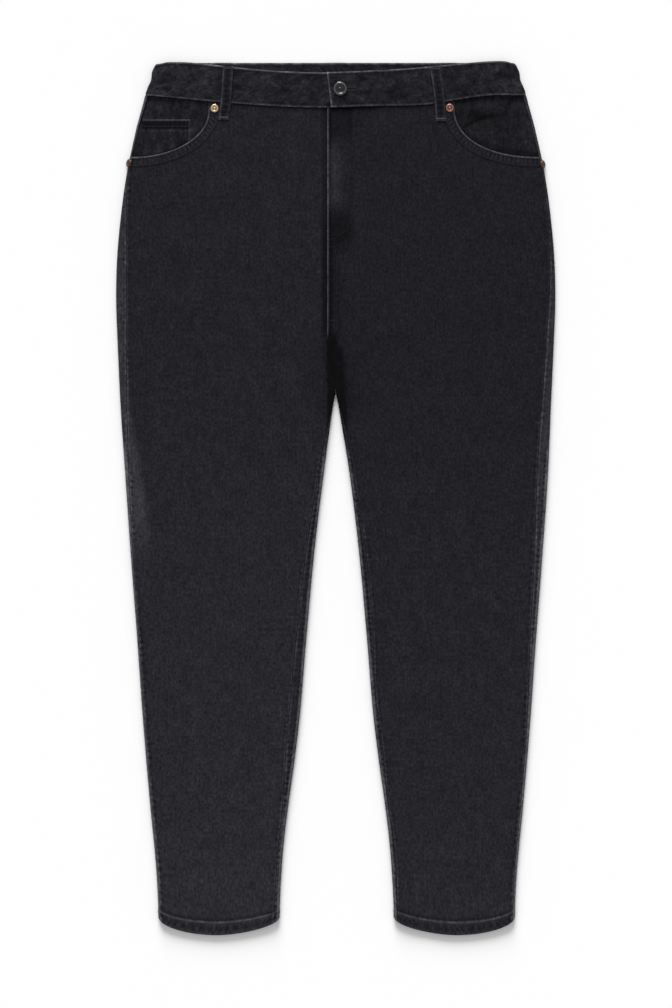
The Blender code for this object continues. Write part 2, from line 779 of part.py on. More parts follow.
def turned_object(name, profile, steps, material):
    """A closed solid turned about its own Z from a profile of radius and height."""
    mesh = bmesh.new()
    rings = []
    for radius, height in profile:
        if radius == 0:
            rings.append([mesh.verts.new((0, 0, height * MM))])
            continue
        turns = [2 * math.pi * k / steps for k in range(steps)]
        ring = [(radius * math.cos(t) * MM, radius * math.sin(t) * MM, height * MM) for t in turns]
        rings.append([mesh.verts.new(place) for place in ring])
    for a, b in zip(rings, rings[1:]):
        for k in range(steps):
            after = (k + 1) % steps
            corners = [a[k % len(a)], b[k % len(b)], b[after % len(b)], a[after % len(a)]]
            mesh.faces.new(dict.fromkeys(corners))
    bmesh.ops.recalc_face_normals(mesh, faces=mesh.faces)
    return mesh_object(name, mesh, material)


def make_button(material):
    made = turned_object("button", BUTTON_PROFILE, 20, material)
    x, y = BUTTON_PLACE
    made.location = (x * MM, y * MM, (float(band_height(x, True)) + GAP) * MM)
    return made


def make_top_rivet(name, place, material):
    made = turned_object(f"rivet_top_{name}", RIVET_PROFILE, 14, material)
    x, y = place
    side = LEFT if x > 0 else RIGHT
    z = float(front_height(side, abs(x), y)) + GAP
    made.location = (x * MM, y * MM, z * MM)
    return made


def make_side_rivet(name, place, material):
    """A rivet at a pocket's lower corner, on the fold, facing out to the side."""
    made = turned_object(f"rivet_side_{name}", RIVET_PROFILE, 14, material)
    sign, y = place
    turn = math.radians(SIDE_RIVET_TILT)
    reach = FOLD + GAP
    x = float(outer_edge(y)) - FOLD + reach * math.cos(turn)
    z = FOLD + reach * math.sin(turn)
    slope = float(outer_edge(y - FOLD) - outer_edge(y + FOLD)) / (2 * FOLD)
    made.location = (sign * x * MM, y * MM, z * MM)
    made.rotation_euler = (0.0, sign * (math.pi / 2 - turn), sign * math.atan(slope))
    return made


def build():
    clear_scene()
    denim = new_material("denim", (0.017, 0.016, 0.020), 0.88)
    facing = new_material("denim_facing", (0.012, 0.011, 0.014), 0.9)
    dark_metal = new_material("dark_metal", (0.035, 0.033, 0.035), 0.38, 0.9)
    brass = new_material("brass", (0.42, 0.30, 0.16), 0.35, 0.9)
    for side in (RIGHT, LEFT):
        make_front(side, denim)
        make_back(side, denim)
        make_yoke(side, denim)
        make_facing(side, facing)
        make_back_pocket(side, denim)
    make_coin_pocket(denim)
    make_fly_shield(denim)
    make_waistband(denim)
    make_button(dark_metal)
    for name, ends in FRONT_LOOPS.items():
        make_front_loop(f"front_{name}", ends, denim)
    for name, middle in BACK_LOOPS.items():
        make_back_loop(name, middle, denim)
    for name, place in TOP_RIVETS.items():
        make_top_rivet(name, place, brass)
    for name, place in SIDE_RIVETS.items():
        make_side_rivet(name, place, brass)


build()
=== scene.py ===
"""The looks of black washed jeans laid flat: cloth, creases, sewing, metal, light and camera.

Sizes are in millimetres, and MM turns them into metres. X runs across the garment, Y up it
from the hems to the waist, and Z off the floor. The right leg is at -X and the left at +X.
Each side is worked out with x counted outwards from the middle, then placed by its sign.
"""

import math
from collections import namedtuple

import bmesh
import bpy
import numpy as np
from mathutils import Matrix, Vector
from mathutils.bvhtree import BVHTree


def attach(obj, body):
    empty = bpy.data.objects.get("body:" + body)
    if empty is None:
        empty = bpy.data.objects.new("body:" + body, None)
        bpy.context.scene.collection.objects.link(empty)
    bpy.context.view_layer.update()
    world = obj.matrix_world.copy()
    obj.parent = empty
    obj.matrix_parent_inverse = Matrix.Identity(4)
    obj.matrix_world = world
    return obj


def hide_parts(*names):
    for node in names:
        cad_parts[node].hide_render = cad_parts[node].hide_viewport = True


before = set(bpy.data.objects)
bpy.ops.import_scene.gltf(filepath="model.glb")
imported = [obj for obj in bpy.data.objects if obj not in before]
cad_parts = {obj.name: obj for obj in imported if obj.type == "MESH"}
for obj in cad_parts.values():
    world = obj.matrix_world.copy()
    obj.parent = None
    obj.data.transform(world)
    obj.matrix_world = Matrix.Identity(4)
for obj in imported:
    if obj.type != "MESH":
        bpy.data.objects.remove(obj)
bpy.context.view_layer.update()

MM = 0.001

# Cloth
WALL = 1.2
HEM_WALL = 2.4
BAND_WALL = 2.4
FACING_WALL = 1.0
GAP = 0.3
HALF_GAP = GAP / 2
BAND_GAP = 0.5
UNDER_GAP = 0.45
FLOOR_CLEAR = 0.3  # the sewing under the garment fills this height

# Folds
FOLD = 3.1
QUARTER = FOLD * math.pi / 2
BAND_FOLD = 4.0
PUFF = 45.0

# The garment's outline, from above
CROTCH = 126.4
HEM = -503.6
HEM_SAG = 21.0
HEM_DEPTH = 12.0
HEM_STITCHES = 10.7  # up from the hem
SAG_REACH = 70.0

OUTLINE = (  # place up the garment, half width
    (524.5, 214.0), (511.6, 220.6), (502.0, 221.8), (492.4, 226.2), (482.8, 228.8), (446.8, 238.6),
    (403.6, 248.4), (334.0, 258.6), (286.0, 262.7), (238.0, 263.8), (190.0, 262.1), (118.0, 258.8),
    (22.0, 253.5), (-74.0, 246.7), (-170.0, 239.4), (-266.0, 232.6), (-362.0, 224.5),
    (-458.0, 215.7), (-525.0, 213.0),
)
BETWEEN_LEGS = (  # place up the garment, half width of the space between the legs
    (CROTCH, HALF_GAP), (118.0, 1.9), (70.0, 9.7), (-2.0, 19.6), (-74.0, 27.8), (-170.0, 36.5),
    (-266.0, 44.6), (-314.0, 50.5), (-362.0, 57.2), (-410.0, 63.1), (-458.0, 66.8), (-525.0, 69.6),
)
MIDDLE_HEIGHT = (  # place up the garment, height of the front between the folds
    (484.0, 6.0), (400.0, 5.8), (240.0, 5.4), (200.0, 5.0), (126.0, 4.6), (0.0, 3.9), (-200.0, 3.7),
    (-440.0, 3.9), (-494.0, 5.1), (-525.0, 5.1),
)

# Seams: place up the garment, distance in from the outline, along the cloth's top
RIGHT_SIDE_SEAM = (
    (484.0, 3.5), (409.0, 1.8), (395.0, 1.7), (382.0, 2.2), (365.0, 4.0), (334.0, 7.6),
    (286.0, 11.7), (238.0, 12.8), (190.0, 11.1), (118.0, 8.0), (22.0, 4.5), (-74.0, 2.2),
    (-160.0, 1.9), (-340.0, 1.8), (-525.0, 1.8),
)
LEFT_SIDE_SEAM = (
    (484.0, 4.5), (409.0, 3.2), (365.0, 3.5), (323.0, 4.8), (270.0, 6.2), (200.0, 8.9),
    (140.0, 10.2), (22.0, 13.0), (-50.0, 10.3), (-150.0, 7.6), (-241.0, 4.8), (-288.0, 3.4),
    (-350.0, 2.9), (-525.0, 2.4),
)
RIGHT_INSEAM = (
    (CROTCH, 0.0), (89.0, 1.9), (56.0, 5.2), (-3.0, 7.3), (-70.0, 10.0), (-190.0, 12.5),
    (-246.0, 13.4), (-302.0, 11.8), (-343.0, 8.3), (-385.0, 6.2), (-430.0, 6.0), (-525.0, 6.6),
)
LEFT_INSEAM = (
    (CROTCH, 0.0), (100.0, 2.5), (69.0, 4.8), (22.0, 4.9), (-28.0, 7.2), (-150.0, 8.2),
    (-232.0, 4.8), (-296.0, 6.4), (-367.0, 3.8), (-405.0, 5.0), (-525.0, 4.0),
)
CENTRE_FRONT = (  # place up the garment, where the two fronts meet across it
    (525.0, -10.4), (360.0, -10.4), (220.0, -10.4), (180.0, -10.4), (165.0, -9.0), (145.0, -2.0),
    (CROTCH + 6.0, 0.0), (CROTCH, 0.0),
)
FRONT_WAIST_SEAM = (  # place across, place up the garment
    (-229.8, 483.0), (-221.0, 482.7), (-200.0, 480.6), (-151.4, 476.0), (-14.2, 468.4),
    (51.0, 470.4), (116.2, 472.8), (142.8, 477.4), (190.6, 483.4), (221.0, 483.1), (229.8, 483.0),
)
FRONT_TOP = (  # place across, place up the garment
    (-215.0, 522.4), (-192.8, 523.6), (-155.0, 521.3), (-135.6, 519.0), (-12.4, 511.2),
    (49.1, 513.6), (112.4, 518.2), (152.0, 522.0), (201.6, 524.5), (215.0, 523.4),
)
BACK_WAIST_SEAM = ((0.0, 477.0), (120.0, 479.0), (221.0, 482.7), (229.8, 483.0))
BACK_TOP = 523.1
TOP_DIP = 1.5
YOKE_SEAM = ((0.0, 416.0), (250.0, 447.0))
YOKE_SIDE = 445.0  # up the garment, of its lower edge at the side fold
YOKE_TOP = 482.0

# The fly
FLY_RISE = 1.3
FLY_FLAT = 25.0
FLY_END = 48.0
FLY_LOW = (200.0, 250.0)
SHIELD = (-36.0, 44.0, 232.0, 463.0)
FLY_ROWS = (22.5, 32.5)  # across, of its two rows of stitches
FLY_CURVE = 44.0  # how far above its end the rows begin to curve in
FLY_FOOT = 301.0  # up the garment, where the outer row meets the front's edge
FLY_HEAD = 466.0  # up the garment, where both rows end below the waistband
EDGE_ROW = 1.6  # in from an edge, of the row of stitches nearest to it
ROW_SPACING = 9.6  # between the two rows of a double row

# The waistband's lap
FLAP_END = (-5.6, -11.0)
FLAP_LIFT = 2.7
FLAP_FLAT = 30.0
FLAP_DOWN = 60.0
UNDERLAP_END = 28.0
BAND_RISE = 1.0
BAND_CORNER = 221.0  # across, where its folds begin

# Pockets and loops
Pocket = namedtuple("Pocket", "centre_x centre_y across down power")
RIGHT_POCKET = Pocket(245.4, 464.8, 92.6, 55.2, 2.0)
LEFT_POCKET = Pocket(244.1, 468.4, 101.3, 58.8, 2.2)
FACING_REACH = 19.0
COIN_POCKET = (174.5, 231.8, 454.8)
COIN_CLEAR = 1.2
BACK_POCKET = (68.0, 212.0, 398.0)
BACK_POCKET_TAPER = 7.0
BACK_POCKET_SIDES = 268.0
BACK_POCKET_POINT = 243.0
LOOP_WIDTH = 12.4
LOOP_WALL = 1.2
LOOP_BULGE = 0.9
FRONT_LOOPS = {
    "right": (-128.4, 518.4, -134.4, 454.0),
    "left": (119.9, 517.8, 126.4, 452.4),
}
BACK_LOOPS = {"back_right": -135.0, "back_centre": 0.0, "back_left": 135.0}
BACK_LOOP_SPAN = (466.0, 521.0)
PAD_LIFT = 1.5
POCKET_RAMP = 10.0
LOOP_RAMP = 8.0
PAD_ROOM = 0.8

# Metal
BUTTON_PLACE = (5.4, 490.7)
TOP_RIVETS = {"right": (-145.4, 468.0), "left": (136.9, 468.4)}
SIDE_RIVETS = {"right": (-1, 402.4), "left": (1, 401.0)}
SIDE_RIVET_TILT = 35.0

# Grids: distances in from a piece's edge, and the steps between its rows and columns
EDGE_STEPS = np.array([0.0, 0.4, 1.0, 1.9, 3.0, 4.4, 6.2, 8.4, 11.0])
STRIP_STEPS = np.array([12.6, 11.6, 10.8, 9.9, 8.8, 7.4, 5.9, 4.4, 3.0, 1.9, 1.0, 0.4, 0.0])
HEM_STEPS = np.array([0, 0.4, 1.0, 1.9, 3, 4.4, 5.8, 7.2, 8.6, 9.8, 10.7, 11.5, 12.3, 13.6, 15.5, 18])
LEG_TOP = 365.0  # up the garment, where the rows start to bend to a front's top edge
ROW_STEP = 2.6
FRONT_MIDDLE = 43  # columns between the edge columns
SEAM_COLUMNS = 23  # of them, those that end at the waistband
FINER = 4  # columns in a front's upper part for each one below
BEND_ROWS = 40
FAR = 200.0  # stands for a distance that doesn't count

Side = namedtuple("Side", "name sign side_seam inseam pocket")
RIGHT = Side("right", -1, RIGHT_SIDE_SEAM, RIGHT_INSEAM, RIGHT_POCKET)
LEFT = Side("left", 1, LEFT_SIDE_SEAM, LEFT_INSEAM, LEFT_POCKET)

# Long creases: ends across and up, sideways bow, half width and height
Crease = namedtuple("Crease", "x0 y0 x1 y1 bow width height")
FRONT_CREASES = {
    "right": (
        Crease(30.0, 182.0, 118.0, 232.0, 6.0, 9.0, 0.35),
        Crease(26.0, 150.0, 100.0, 168.0, 5.0, 8.0, -0.3),
        Crease(48.0, 90.0, 140.0, 128.0, 7.0, 11.0, 0.3),
        Crease(190.0, 330.0, 236.0, 262.0, 7.0, 9.0, 0.35),
        Crease(120.0, 40.0, 222.0, 66.0, 8.0, 12.0, 0.3),
        Crease(60.0, -8.0, 128.0, -40.0, 6.0, 10.0, -0.28),
        Crease(150.0, -96.0, 214.0, -70.0, 5.0, 9.0, 0.32),
        Crease(86.0, -250.0, 120.0, -340.0, 7.0, 9.0, 0.35),
        Crease(166.0, -310.0, 196.0, -410.0, -6.0, 8.0, 0.4),
        Crease(92.0, -420.0, 112.0, -482.0, 4.0, 6.0, 0.35),
    ),
    "left": (
        Crease(24.0, 170.0, 96.0, 214.0, 6.0, 9.0, 0.35),
        Crease(20.0, 140.0, 120.0, 150.0, -6.0, 9.0, -0.3),
        Crease(60.0, 76.0, 150.0, 112.0, 7.0, 11.0, 0.32),
        Crease(176.0, 318.0, 232.0, 268.0, -7.0, 9.0, 0.3),
        Crease(110.0, 20.0, 206.0, 52.0, 8.0, 12.0, 0.3),
        Crease(150.0, -120.0, 212.0, -150.0, 6.0, 9.0, 0.32),
        Crease(66.0, -392.0, 84.0, -487.0, 3.0, 4.2, 0.75),
        Crease(58.0, -400.0, 74.0, -490.0, 3.0, 3.6, -0.35),
        Crease(206.0, -386.0, 217.0, -390.0, 1.0, 2.6, -0.6),
        Crease(150.0, -300.0, 190.0, -380.0, -6.0, 9.0, 0.35),
    ),
}
BACK_CREASES = (
    Crease(20.0, 226.0, 120.0, 190.0, 8.0, 11.0, 0.6),
    Crease(16.0, 190.0, 130.0, 150.0, 8.0, 10.0, 0.7),
    Crease(24.0, 140.0, 140.0, 112.0, 6.0, 12.0, 0.5),
    Crease(60.0, 60.0, 190.0, 84.0, 8.0, 13.0, 0.5),
    Crease(90.0, -20.0, 220.0, 6.0, -8.0, 12.0, 0.6),
    Crease(60.0, -60.0, 170.0, -92.0, 7.0, 11.0, 0.55),
    Crease(96.0, -150.0, 210.0, -136.0, 6.0, 13.0, 0.4),
    Crease(90.0, -260.0, 130.0, -350.0, 8.0, 10.0, 0.45),
    Crease(150.0, -330.0, 186.0, -430.0, -7.0, 9.0, 0.5),
)

# How dark and how pale the cloth gets, as shares of its middle tone
FRONT_FADES = (0.15, 8.0)
BACK_FADES = (0.15, 6.0)
YOKE_FADES = (0.2, 6.0)

# Where in the weave each piece is cut from
PATCHES = {
    "front": 40.0,
    "back": 40.0,
    "yoke": 90.0,
    "facing": 150.0,
    "coin_pocket": 210.0,
    "fly_shield": 260.0,
    "waistband": 330.0,
    "front_loop": 420.0,
    "back_loop": 460.0,
    "back_pocket": 500.0,
}

# Stitches
PITCH = 3.1  # from one stitch of a row to the next
STITCH = 2.55
THREAD = (0.58, 0.4)  # width and height of a stitch
TACK_COUNT = 24
TACK_ALONG = np.array([0.12, 1.0, 0.0])
HOLE_COUNT = 26  # stitches along each side of the buttonhole
HOLE_LENGTH = 15.0
WAIST_ROWS = ((True, -226.0, -12.5), (True, -6.2, 226.0), (False, -218.0, 218.0))


def smooth(table, at):
    """The smooth curve through a table's rows of place and value, read at a place."""
    places, values = np.array(sorted(table)).T
    slopes = np.gradient(values, places)
    at = np.clip(at, places[0], places[-1])
    row = np.clip(np.searchsorted(places, at) - 1, 0, len(places) - 2)
    step = places[row + 1] - places[row]
    t = (at - places[row]) / step
    start = values[row] * (1 + 2 * t) * (1 - t) ** 2 + slopes[row] * step * t * (1 - t) ** 2
    end = values[row + 1] * t * t * (3 - 2 * t) + slopes[row + 1] * step * t * t * (t - 1)
    return start + end


def straight(table, at):
    """The straight lines through a table's rows of place and value, read at a place."""
    places, values = np.array(sorted(table)).T
    return np.interp(at, places, values)


def ease(start, end, at):
    """From 0 at start to 1 at end, level at both."""
    t = np.clip((at - start) / (end - start), 0.0, 1.0)
    return t * t * (3 - 2 * t)


def hill(at, middle, width):
    """1 at the middle, falling off to both sides."""
    return np.exp(-(((at - middle) / width) ** 2))


def hills(at, *each):
    """Several hills added up, each given by its height, middle and width."""
    return sum(height * hill(at, middle, width) for height, middle, width in each)


def span(at, *ends):
    """From 0 to 1 between the first two places, and back to 0 between the last two."""
    return ease(*ends[:2], at) * (1 - ease(*ends[2:], at))


def on_legs(y):
    """1 below the crotch and 0 above it."""
    return 1 - ease(CROTCH - 6.0, CROTCH + 10.0, y)


def roping(place, period, seed):
    """Uneven waves along a seam, from about -1 to 1."""
    drift = 1.1 * np.sin(place / 21.0 + seed) + 0.7 * np.sin(place / 9.3 + 2.1 * seed)
    swell = 0.62 + 0.38 * np.sin(place / 37.0 + 1.7 * seed) * np.sin(place / 15.0 + 0.6 * seed)
    return np.sin(2 * math.pi * place / period + drift) * swell


def unevenness(x, y, seed):
    """Slow soft waves over the cloth, from about -1 to 1."""
    wide = np.sin(x / 23.0 + y / 71.0 + seed) * np.sin(y / 38.0 - x / 90.0 + 2.0 * seed)
    near = np.sin(x / 11.0 - y / 34.0 + 1.3 * seed) * np.sin(y / 19.0 + x / 31.0 + seed)
    return 0.65 * wide + 0.35 * near


def run_along(x, y):
    """How far along a path each of its places is."""
    return np.concatenate([[0.0], np.cumsum(np.hypot(np.diff(x), np.diff(y)))])


def round_off(distance, radius, depth):
    """How far the cloth's face drops where it turns over at an edge."""
    share = np.clip(1 - distance / radius, 0.0, 1.0)
    return -depth * (1 - np.sqrt(1 - share**2))


def creases(table, x, y):
    """Height of the long creases at a place."""
    height = np.zeros(np.broadcast(x, y).shape)
    for c in table:
        length = math.hypot(c.x1 - c.x0, c.y1 - c.y0)
        ux, uy = (c.x1 - c.x0) / length, (c.y1 - c.y0) / length
        along = ((x - c.x0) * ux + (y - c.y0) * uy) / length
        inside = np.clip(4 * along * (1 - along), 0.0, 1.0)
        beside = (y - c.y0) * ux - (x - c.x0) * uy - c.bow * inside
        height += c.height * hill(beside, 0.0, c.width) * inside**0.7
    return height


def outer_edge(y):
    return smooth(OUTLINE, y)


def inner_edge(y):
    return smooth(BETWEEN_LEGS, y)


def hem_sag(x, y):
    """How much lower a row runs at a place than at its ends, near the hem."""
    outer, inner = outer_edge(y), inner_edge(y)
    across = (2 * x - outer - inner) / (outer - inner)
    share = np.clip((HEM + SAG_REACH - y) / SAG_REACH, 0.0, 1.0)
    tilt = 1 + 0.17 * np.minimum(across, 0.0)
    return HEM_SAG * share * tilt * np.clip(1 - abs(across) ** 2.1, 0.0, 1.0) ** 0.6


def pads():
    """The places on the floor side that carry a piece: middle, half width, reach, ramp."""
    inner, outer, top = BACK_POCKET
    middle, half = (inner + outer) / 2, (outer - inner) / 2 + PAD_ROOM
    reach = (BACK_POCKET_POINT - PAD_ROOM, top + PAD_ROOM)
    found = [(sign * middle, half, reach, POCKET_RAMP) for sign in (-1, 1)]
    half = LOOP_WIDTH / 2 + PAD_ROOM
    reach = (BACK_LOOP_SPAN[0] - PAD_ROOM, BACK_TOP + LOOP_RAMP)
    return found + [(x, half, reach, LOOP_RAMP) for x in BACK_LOOPS.values()]


def pad_height(x, y):
    """How far the garment's underside is lifted over the back pockets and loops."""
    height = np.zeros(np.broadcast(x, y).shape)
    for middle, half, (low, high), ramp in pads():
        beside = (half + ramp - abs(x - middle)) / ramp
        below = (y - low + ramp) / ramp
        above = (high + ramp - y) / ramp
        share = np.clip(np.minimum(np.minimum(beside, below), above), 0.0, 1.0)
        height = np.maximum(height, PAD_LIFT * share)
    return height


def edge_distance(x, y):
    """Distance in from the nearest fold, and the direction in from it across and up."""
    outward = outer_edge(y) - x
    split = y < CROTCH
    across = np.where(split, x - inner_edge(y), np.maximum(abs(x) - HALF_GAP, 0.0))
    up = np.where(split, 0.0, y - CROTCH)
    inward = np.hypot(across, up)
    nearer = outward < inward
    length = np.maximum(inward, 1e-9)
    toward_x = np.where(nearer, -1.0, across / length)
    toward_y = np.where(nearer, 0.0, up / length)
    at_crotch = ~nearer & (inward < 1e-6)
    toward_x = np.where(at_crotch, 1.0, toward_x)
    return np.minimum(outward, inward), toward_x, toward_y


def fly_rise(side, x, y):
    """How much higher the left front stands over the fly."""
    across = 1 - ease(FLY_FLAT, FLY_END, x)
    return FLY_RISE * across * ease(*FLY_LOW, y) * (side.sign > 0)


def front_height(side, x, y):
    """Height of the fronts' face, away from the roll at a fold, with its long creases."""
    distance, _, _ = edge_distance(x, y)
    puff = 1 - ease(FOLD, PUFF, distance)
    middle = smooth(MIDDLE_HEIGHT, y)
    body = middle + (2 * FOLD - middle) * puff + fly_rise(side, x, y)
    calm = ease(1.0, 18.0, distance) * (1 - 0.8 * ease(420.0, 470.0, y))
    waves = 0.22 * unevenness(x, y, 1.4 + side.sign)
    return body + calm * (creases(FRONT_CREASES[side.name], x, y) + waves)


def lean(y):
    """How far the legs lie over to the left."""
    return 1.15 * (1 - ease(20.0, 120.0, y))


def placed(side, x, y, z):
    return np.stack(np.broadcast_arrays(side.sign * x + lean(y), y, z), axis=-1)


def skin(side, x, y, upper, wall, relief):
    """Outer and inner points of the cloth at places from above, on its upper or floor side."""
    distance, toward_x, toward_y = edge_distance(x, y)
    turn = np.clip(FOLD - distance, 0.0, FOLD)
    roll = np.sqrt(1 - (turn / FOLD) ** 2)
    top = front_height(side, x, y)
    low = FLOOR_CLEAR + pad_height(side.sign * x, y)
    base = np.where(upper, FOLD + (top - FOLD) * roll, FOLD - (FOLD - low) * roll)
    flat = base + np.where(upper, -wall, wall)
    curved = base + (FOLD - base) * wall / FOLD
    inner_z = np.where(turn > 0, curved, flat)
    shift = turn * wall / FOLD
    drop = hem_sag(x, y)
    face = base + np.where(upper, 1.0, -1.0) * relief * roll
    push = relief * turn / FOLD
    outer = placed(side, x - toward_x * push, y - toward_y * push - drop, face)
    inner = placed(side, x + toward_x * shift, y + toward_y * shift - drop, inner_z)
    return outer, inner


def wall_at(y):
    return WALL + (HEM_WALL - WALL) * (1 - ease(HEM + HEM_DEPTH - 0.6, HEM + HEM_DEPTH + 0.6, y))


def arc_of(distance):
    """Length along the cloth's top from a fold's outermost line to a seam this far in."""
    inside = FOLD * np.arccos(np.clip(1 - distance / FOLD, -1.0, 1.0))
    return np.where(distance < FOLD, inside, QUARTER + distance - FOLD)


def distance_of(arc):
    """The other way round: distance in from the outline, from a length along the cloth."""
    length = abs(arc)
    inside = FOLD * (1 - np.cos(np.minimum(length / FOLD, math.pi / 2)))
    return inside + np.maximum(length - QUARTER, 0.0)


def leg_rows():
    """Places up the garment of the rows from the hem to where a front's top begins."""
    above = HEM + HEM_STEPS
    count = round((LEG_TOP - above[-1] - ROW_STEP) / ROW_STEP)
    return np.concatenate([above, np.linspace(above[-1] + ROW_STEP, LEG_TOP, count)])


def strip(low, high):
    """Faces between two rows of vertex numbers, the upper one as fine or twice as fine."""
    if len(low) == len(high):
        return [(low[j], low[j + 1], high[j + 1], high[j]) for j in range(len(low) - 1)]
    return [
        (low[j], low[j + 1], high[2 * j + 2], high[2 * j + 1], high[2 * j])
        for j in range(len(low) - 1)
    ]


def add_object(name, data):
    made = bpy.data.objects.new(name, data)
    bpy.context.scene.collection.objects.link(made)
    return made


def add_mesh(name, points, faces, material, sharp=50.0, **values):
    """A closed mesh from points in millimetres, with these values stored for each point."""
    data = bpy.data.meshes.new(name)
    data.from_pydata((np.array(points) * MM).tolist(), [], faces)
    for key, stored in values.items():
        stored = np.asarray(stored, dtype=np.float32)
        kind, field = ("FLOAT_VECTOR", "vector") if stored.ndim == 2 else ("FLOAT", "value")
        data.attributes.new(key, kind, "POINT").data.foreach_set(field, stored.ravel())
    checked = bmesh.new()
    checked.from_mesh(data)
    if checked.calc_volume(signed=True) < 0:
        data.flip_normals()
    checked.free()
    data.shade_smooth()
    data.set_sharp_from_angle(angle=math.radians(sharp))
    data.materials.append(material)
    return add_object(name, data)


def make_cloth(name, outer, inner, fade, cloth, material, rests_on, node=None, slot="denim"):
    """A closed sheet between two grids of points, given row by row, that stands for a node."""
    counts = [len(row) for row in outer]
    starts = np.concatenate([[0], np.cumsum(counts)]).tolist()
    total = starts[-1]
    rows = [list(range(start, start + count)) for start, count in zip(starts, counts)]
    faces = []
    for low, high in zip(rows, rows[1:]):
        faces += strip(low, high)
    under = [tuple(v + total for v in face[::-1]) for face in faces]
    rim = rows[0] + [row[-1] for row in rows[1:]]
    rim += rows[-1][-2::-1] + [row[0] for row in rows[-2:0:-1]]
    edge = [(b, a, a + total, b + total) for a, b in zip(rim, rim[1:] + rim[:1])]
    points = np.concatenate([*outer, *inner])
    # Each point's tone: the wash and wear of the cloth, with painted shade and painted highlight mixed
    # into it.
    values = {"fade": np.concatenate([*fade, *fade]), "cloth": np.concatenate([*cloth, *cloth])}
    piece = add_mesh(f"cloth_{name}", points, faces + under + edge, material, **values)
    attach(piece, "root")
    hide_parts(node or name)
    return piece


def cloth_at(x, y, patch):
    """Where points are on a piece's cut, and which stretch of the weave it is cut from."""
    return np.stack(np.broadcast_arrays(x, y, patch), axis=-1)


def joined(rows):
    """A grid's rows, each of several kinds of values, as one long array of each kind."""
    return [np.concatenate(kind) for kind in zip(*rows)]


def make_panel(kind, side, grid, wall, look, limits, cloth, material, rests_on):
    """A front, back or yoke, from its rows of columns, its places and which are on top."""
    columns, x, y, upper = grid
    relief, light = look
    outer, inner = skin(side, x, y, upper, wall, relief)
    fade = np.clip((wash(side, x, y) + side_fade(side, x, y)) * (1 + light), *limits)
    ends = np.cumsum([len(row) for row in columns])[:-1]
    rows = [np.split(part, ends) for part in (outer, inner, fade, cloth)]
    return make_cloth(f"{kind}_{side.name}", *rows, material, [f"{rests_on}_{side.name}"])


# Fronts


def pocket_edge(pocket, x):
    """Height up the garment of a pocket's opening at a place out from the middle."""
    share = np.clip((pocket.centre_x - x) / pocket.across, 0.0, 1.0)
    return pocket.centre_y - pocket.down * (1 - share**pocket.power) ** (1 / pocket.power)


def front_seam_x(side, y):
    """A front's edge at its side seam, out from the middle."""
    return outer_edge(y) - distance_of(arc_of(smooth(side.side_seam, y)) + HALF_GAP)


def front_middle_x(side, y):
    """A front's other edge: the middle, or the inseam below the crotch."""
    above = side.sign * smooth(CENTRE_FRONT, y) + HALF_GAP
    below = inner_edge(y) + distance_of(arc_of(smooth(side.inseam, y)) + HALF_GAP)
    return np.where(y < CROTCH, below, above)


def front_waist(side, x):
    return smooth(FRONT_WAIST_SEAM, side.sign * x)


def front_columns(side, y, finer=1):
    """Places out from the middle of a front's columns at one height."""
    middle, seam = float(front_middle_x(side, y)), float(front_seam_x(side, y))
    reach = EDGE_STEPS[-1]
    inside = np.linspace(middle + reach, seam - reach, FRONT_MIDDLE + 2)[1:-1]
    x = np.concatenate([middle + EDGE_STEPS, inside, seam - EDGE_STEPS[::-1]])
    at = np.arange(0, len(x) - 1 + 1e-9, 1.0 / finer)
    return np.interp(at, np.arange(len(x)), x)


def front_top_edge(side):
    """A front's top edge at its finest columns, with the number of the pocket's corner."""
    pocket = side.pocket
    corner = pocket.centre_x - pocket.across
    middle = float(front_middle_x(side, FRONT_WAIST_SEAM[3][1]))
    mouth_y = pocket.centre_y - pocket.down
    mouth_x = float(front_seam_x(side, mouth_y))
    reach = EDGE_STEPS[-1]
    first = len(EDGE_STEPS) - 1
    along_seam = np.linspace(middle + reach, corner, SEAM_COLUMNS + 1)
    count = FRONT_MIDDLE + 1 - SEAM_COLUMNS
    last = math.acos((pocket.centre_x - mouth_x + reach) / pocket.across)
    turns = np.linspace(0.0, last, count + 1)[1:]
    along_pocket = pocket.centre_x - pocket.across * np.cos(turns)
    x = np.concatenate([
        middle + EDGE_STEPS[:-1],
        along_seam,
        along_pocket,
        mouth_x - EDGE_STEPS[-2::-1],
    ])
    at = np.arange(0, len(x) - 1 + 1e-9, 1.0 / FINER)
    number = (first + SEAM_COLUMNS) * FINER
    turn_at = np.interp(at, np.arange(len(turns) + 1) + first + SEAM_COLUMNS, [0.0, *turns])
    on_pocket = (at >= first + SEAM_COLUMNS) & (at <= first + SEAM_COLUMNS + count)
    x = np.interp(at, np.arange(len(x)), x)
    x = np.where(on_pocket, pocket.centre_x - pocket.across * np.cos(turn_at), x)
    seam_y = front_waist(side, x) - BAND_GAP / 2
    y = np.where(np.arange(len(x)) <= number, seam_y, pocket_edge(pocket, x))
    return np.stack([x, y], axis=-1), number


def top_offsets(edge, number, depth):
    """The line this far in from a front's top edge, mitred at the pocket's corner."""
    steps = np.diff(edge, axis=0)
    steps /= np.maximum(np.hypot(*steps.T)[:, None], 1e-9)
    tangent = np.concatenate([steps[:1], steps[:-1] + steps[1:], steps[-1:]])
    tangent[number] = steps[number - 1]
    tangent /= np.hypot(*tangent.T)[:, None]
    inward = np.stack([tangent[:, 1], -tangent[:, 0]], axis=-1)
    run = run_along(*edge.T)
    from_corner = run - run[number]
    mitre = (1 + inward[number, 0]) / tangent[number, 0]
    slide = (1 - ease(0.0, 45.0, abs(from_corner))) * np.where(from_corner > 0, 1.0, -mitre)
    return edge + depth * (inward + tangent * slide[:, None]), from_corner


Places = namedtuple("Places", "x y top along pocket")


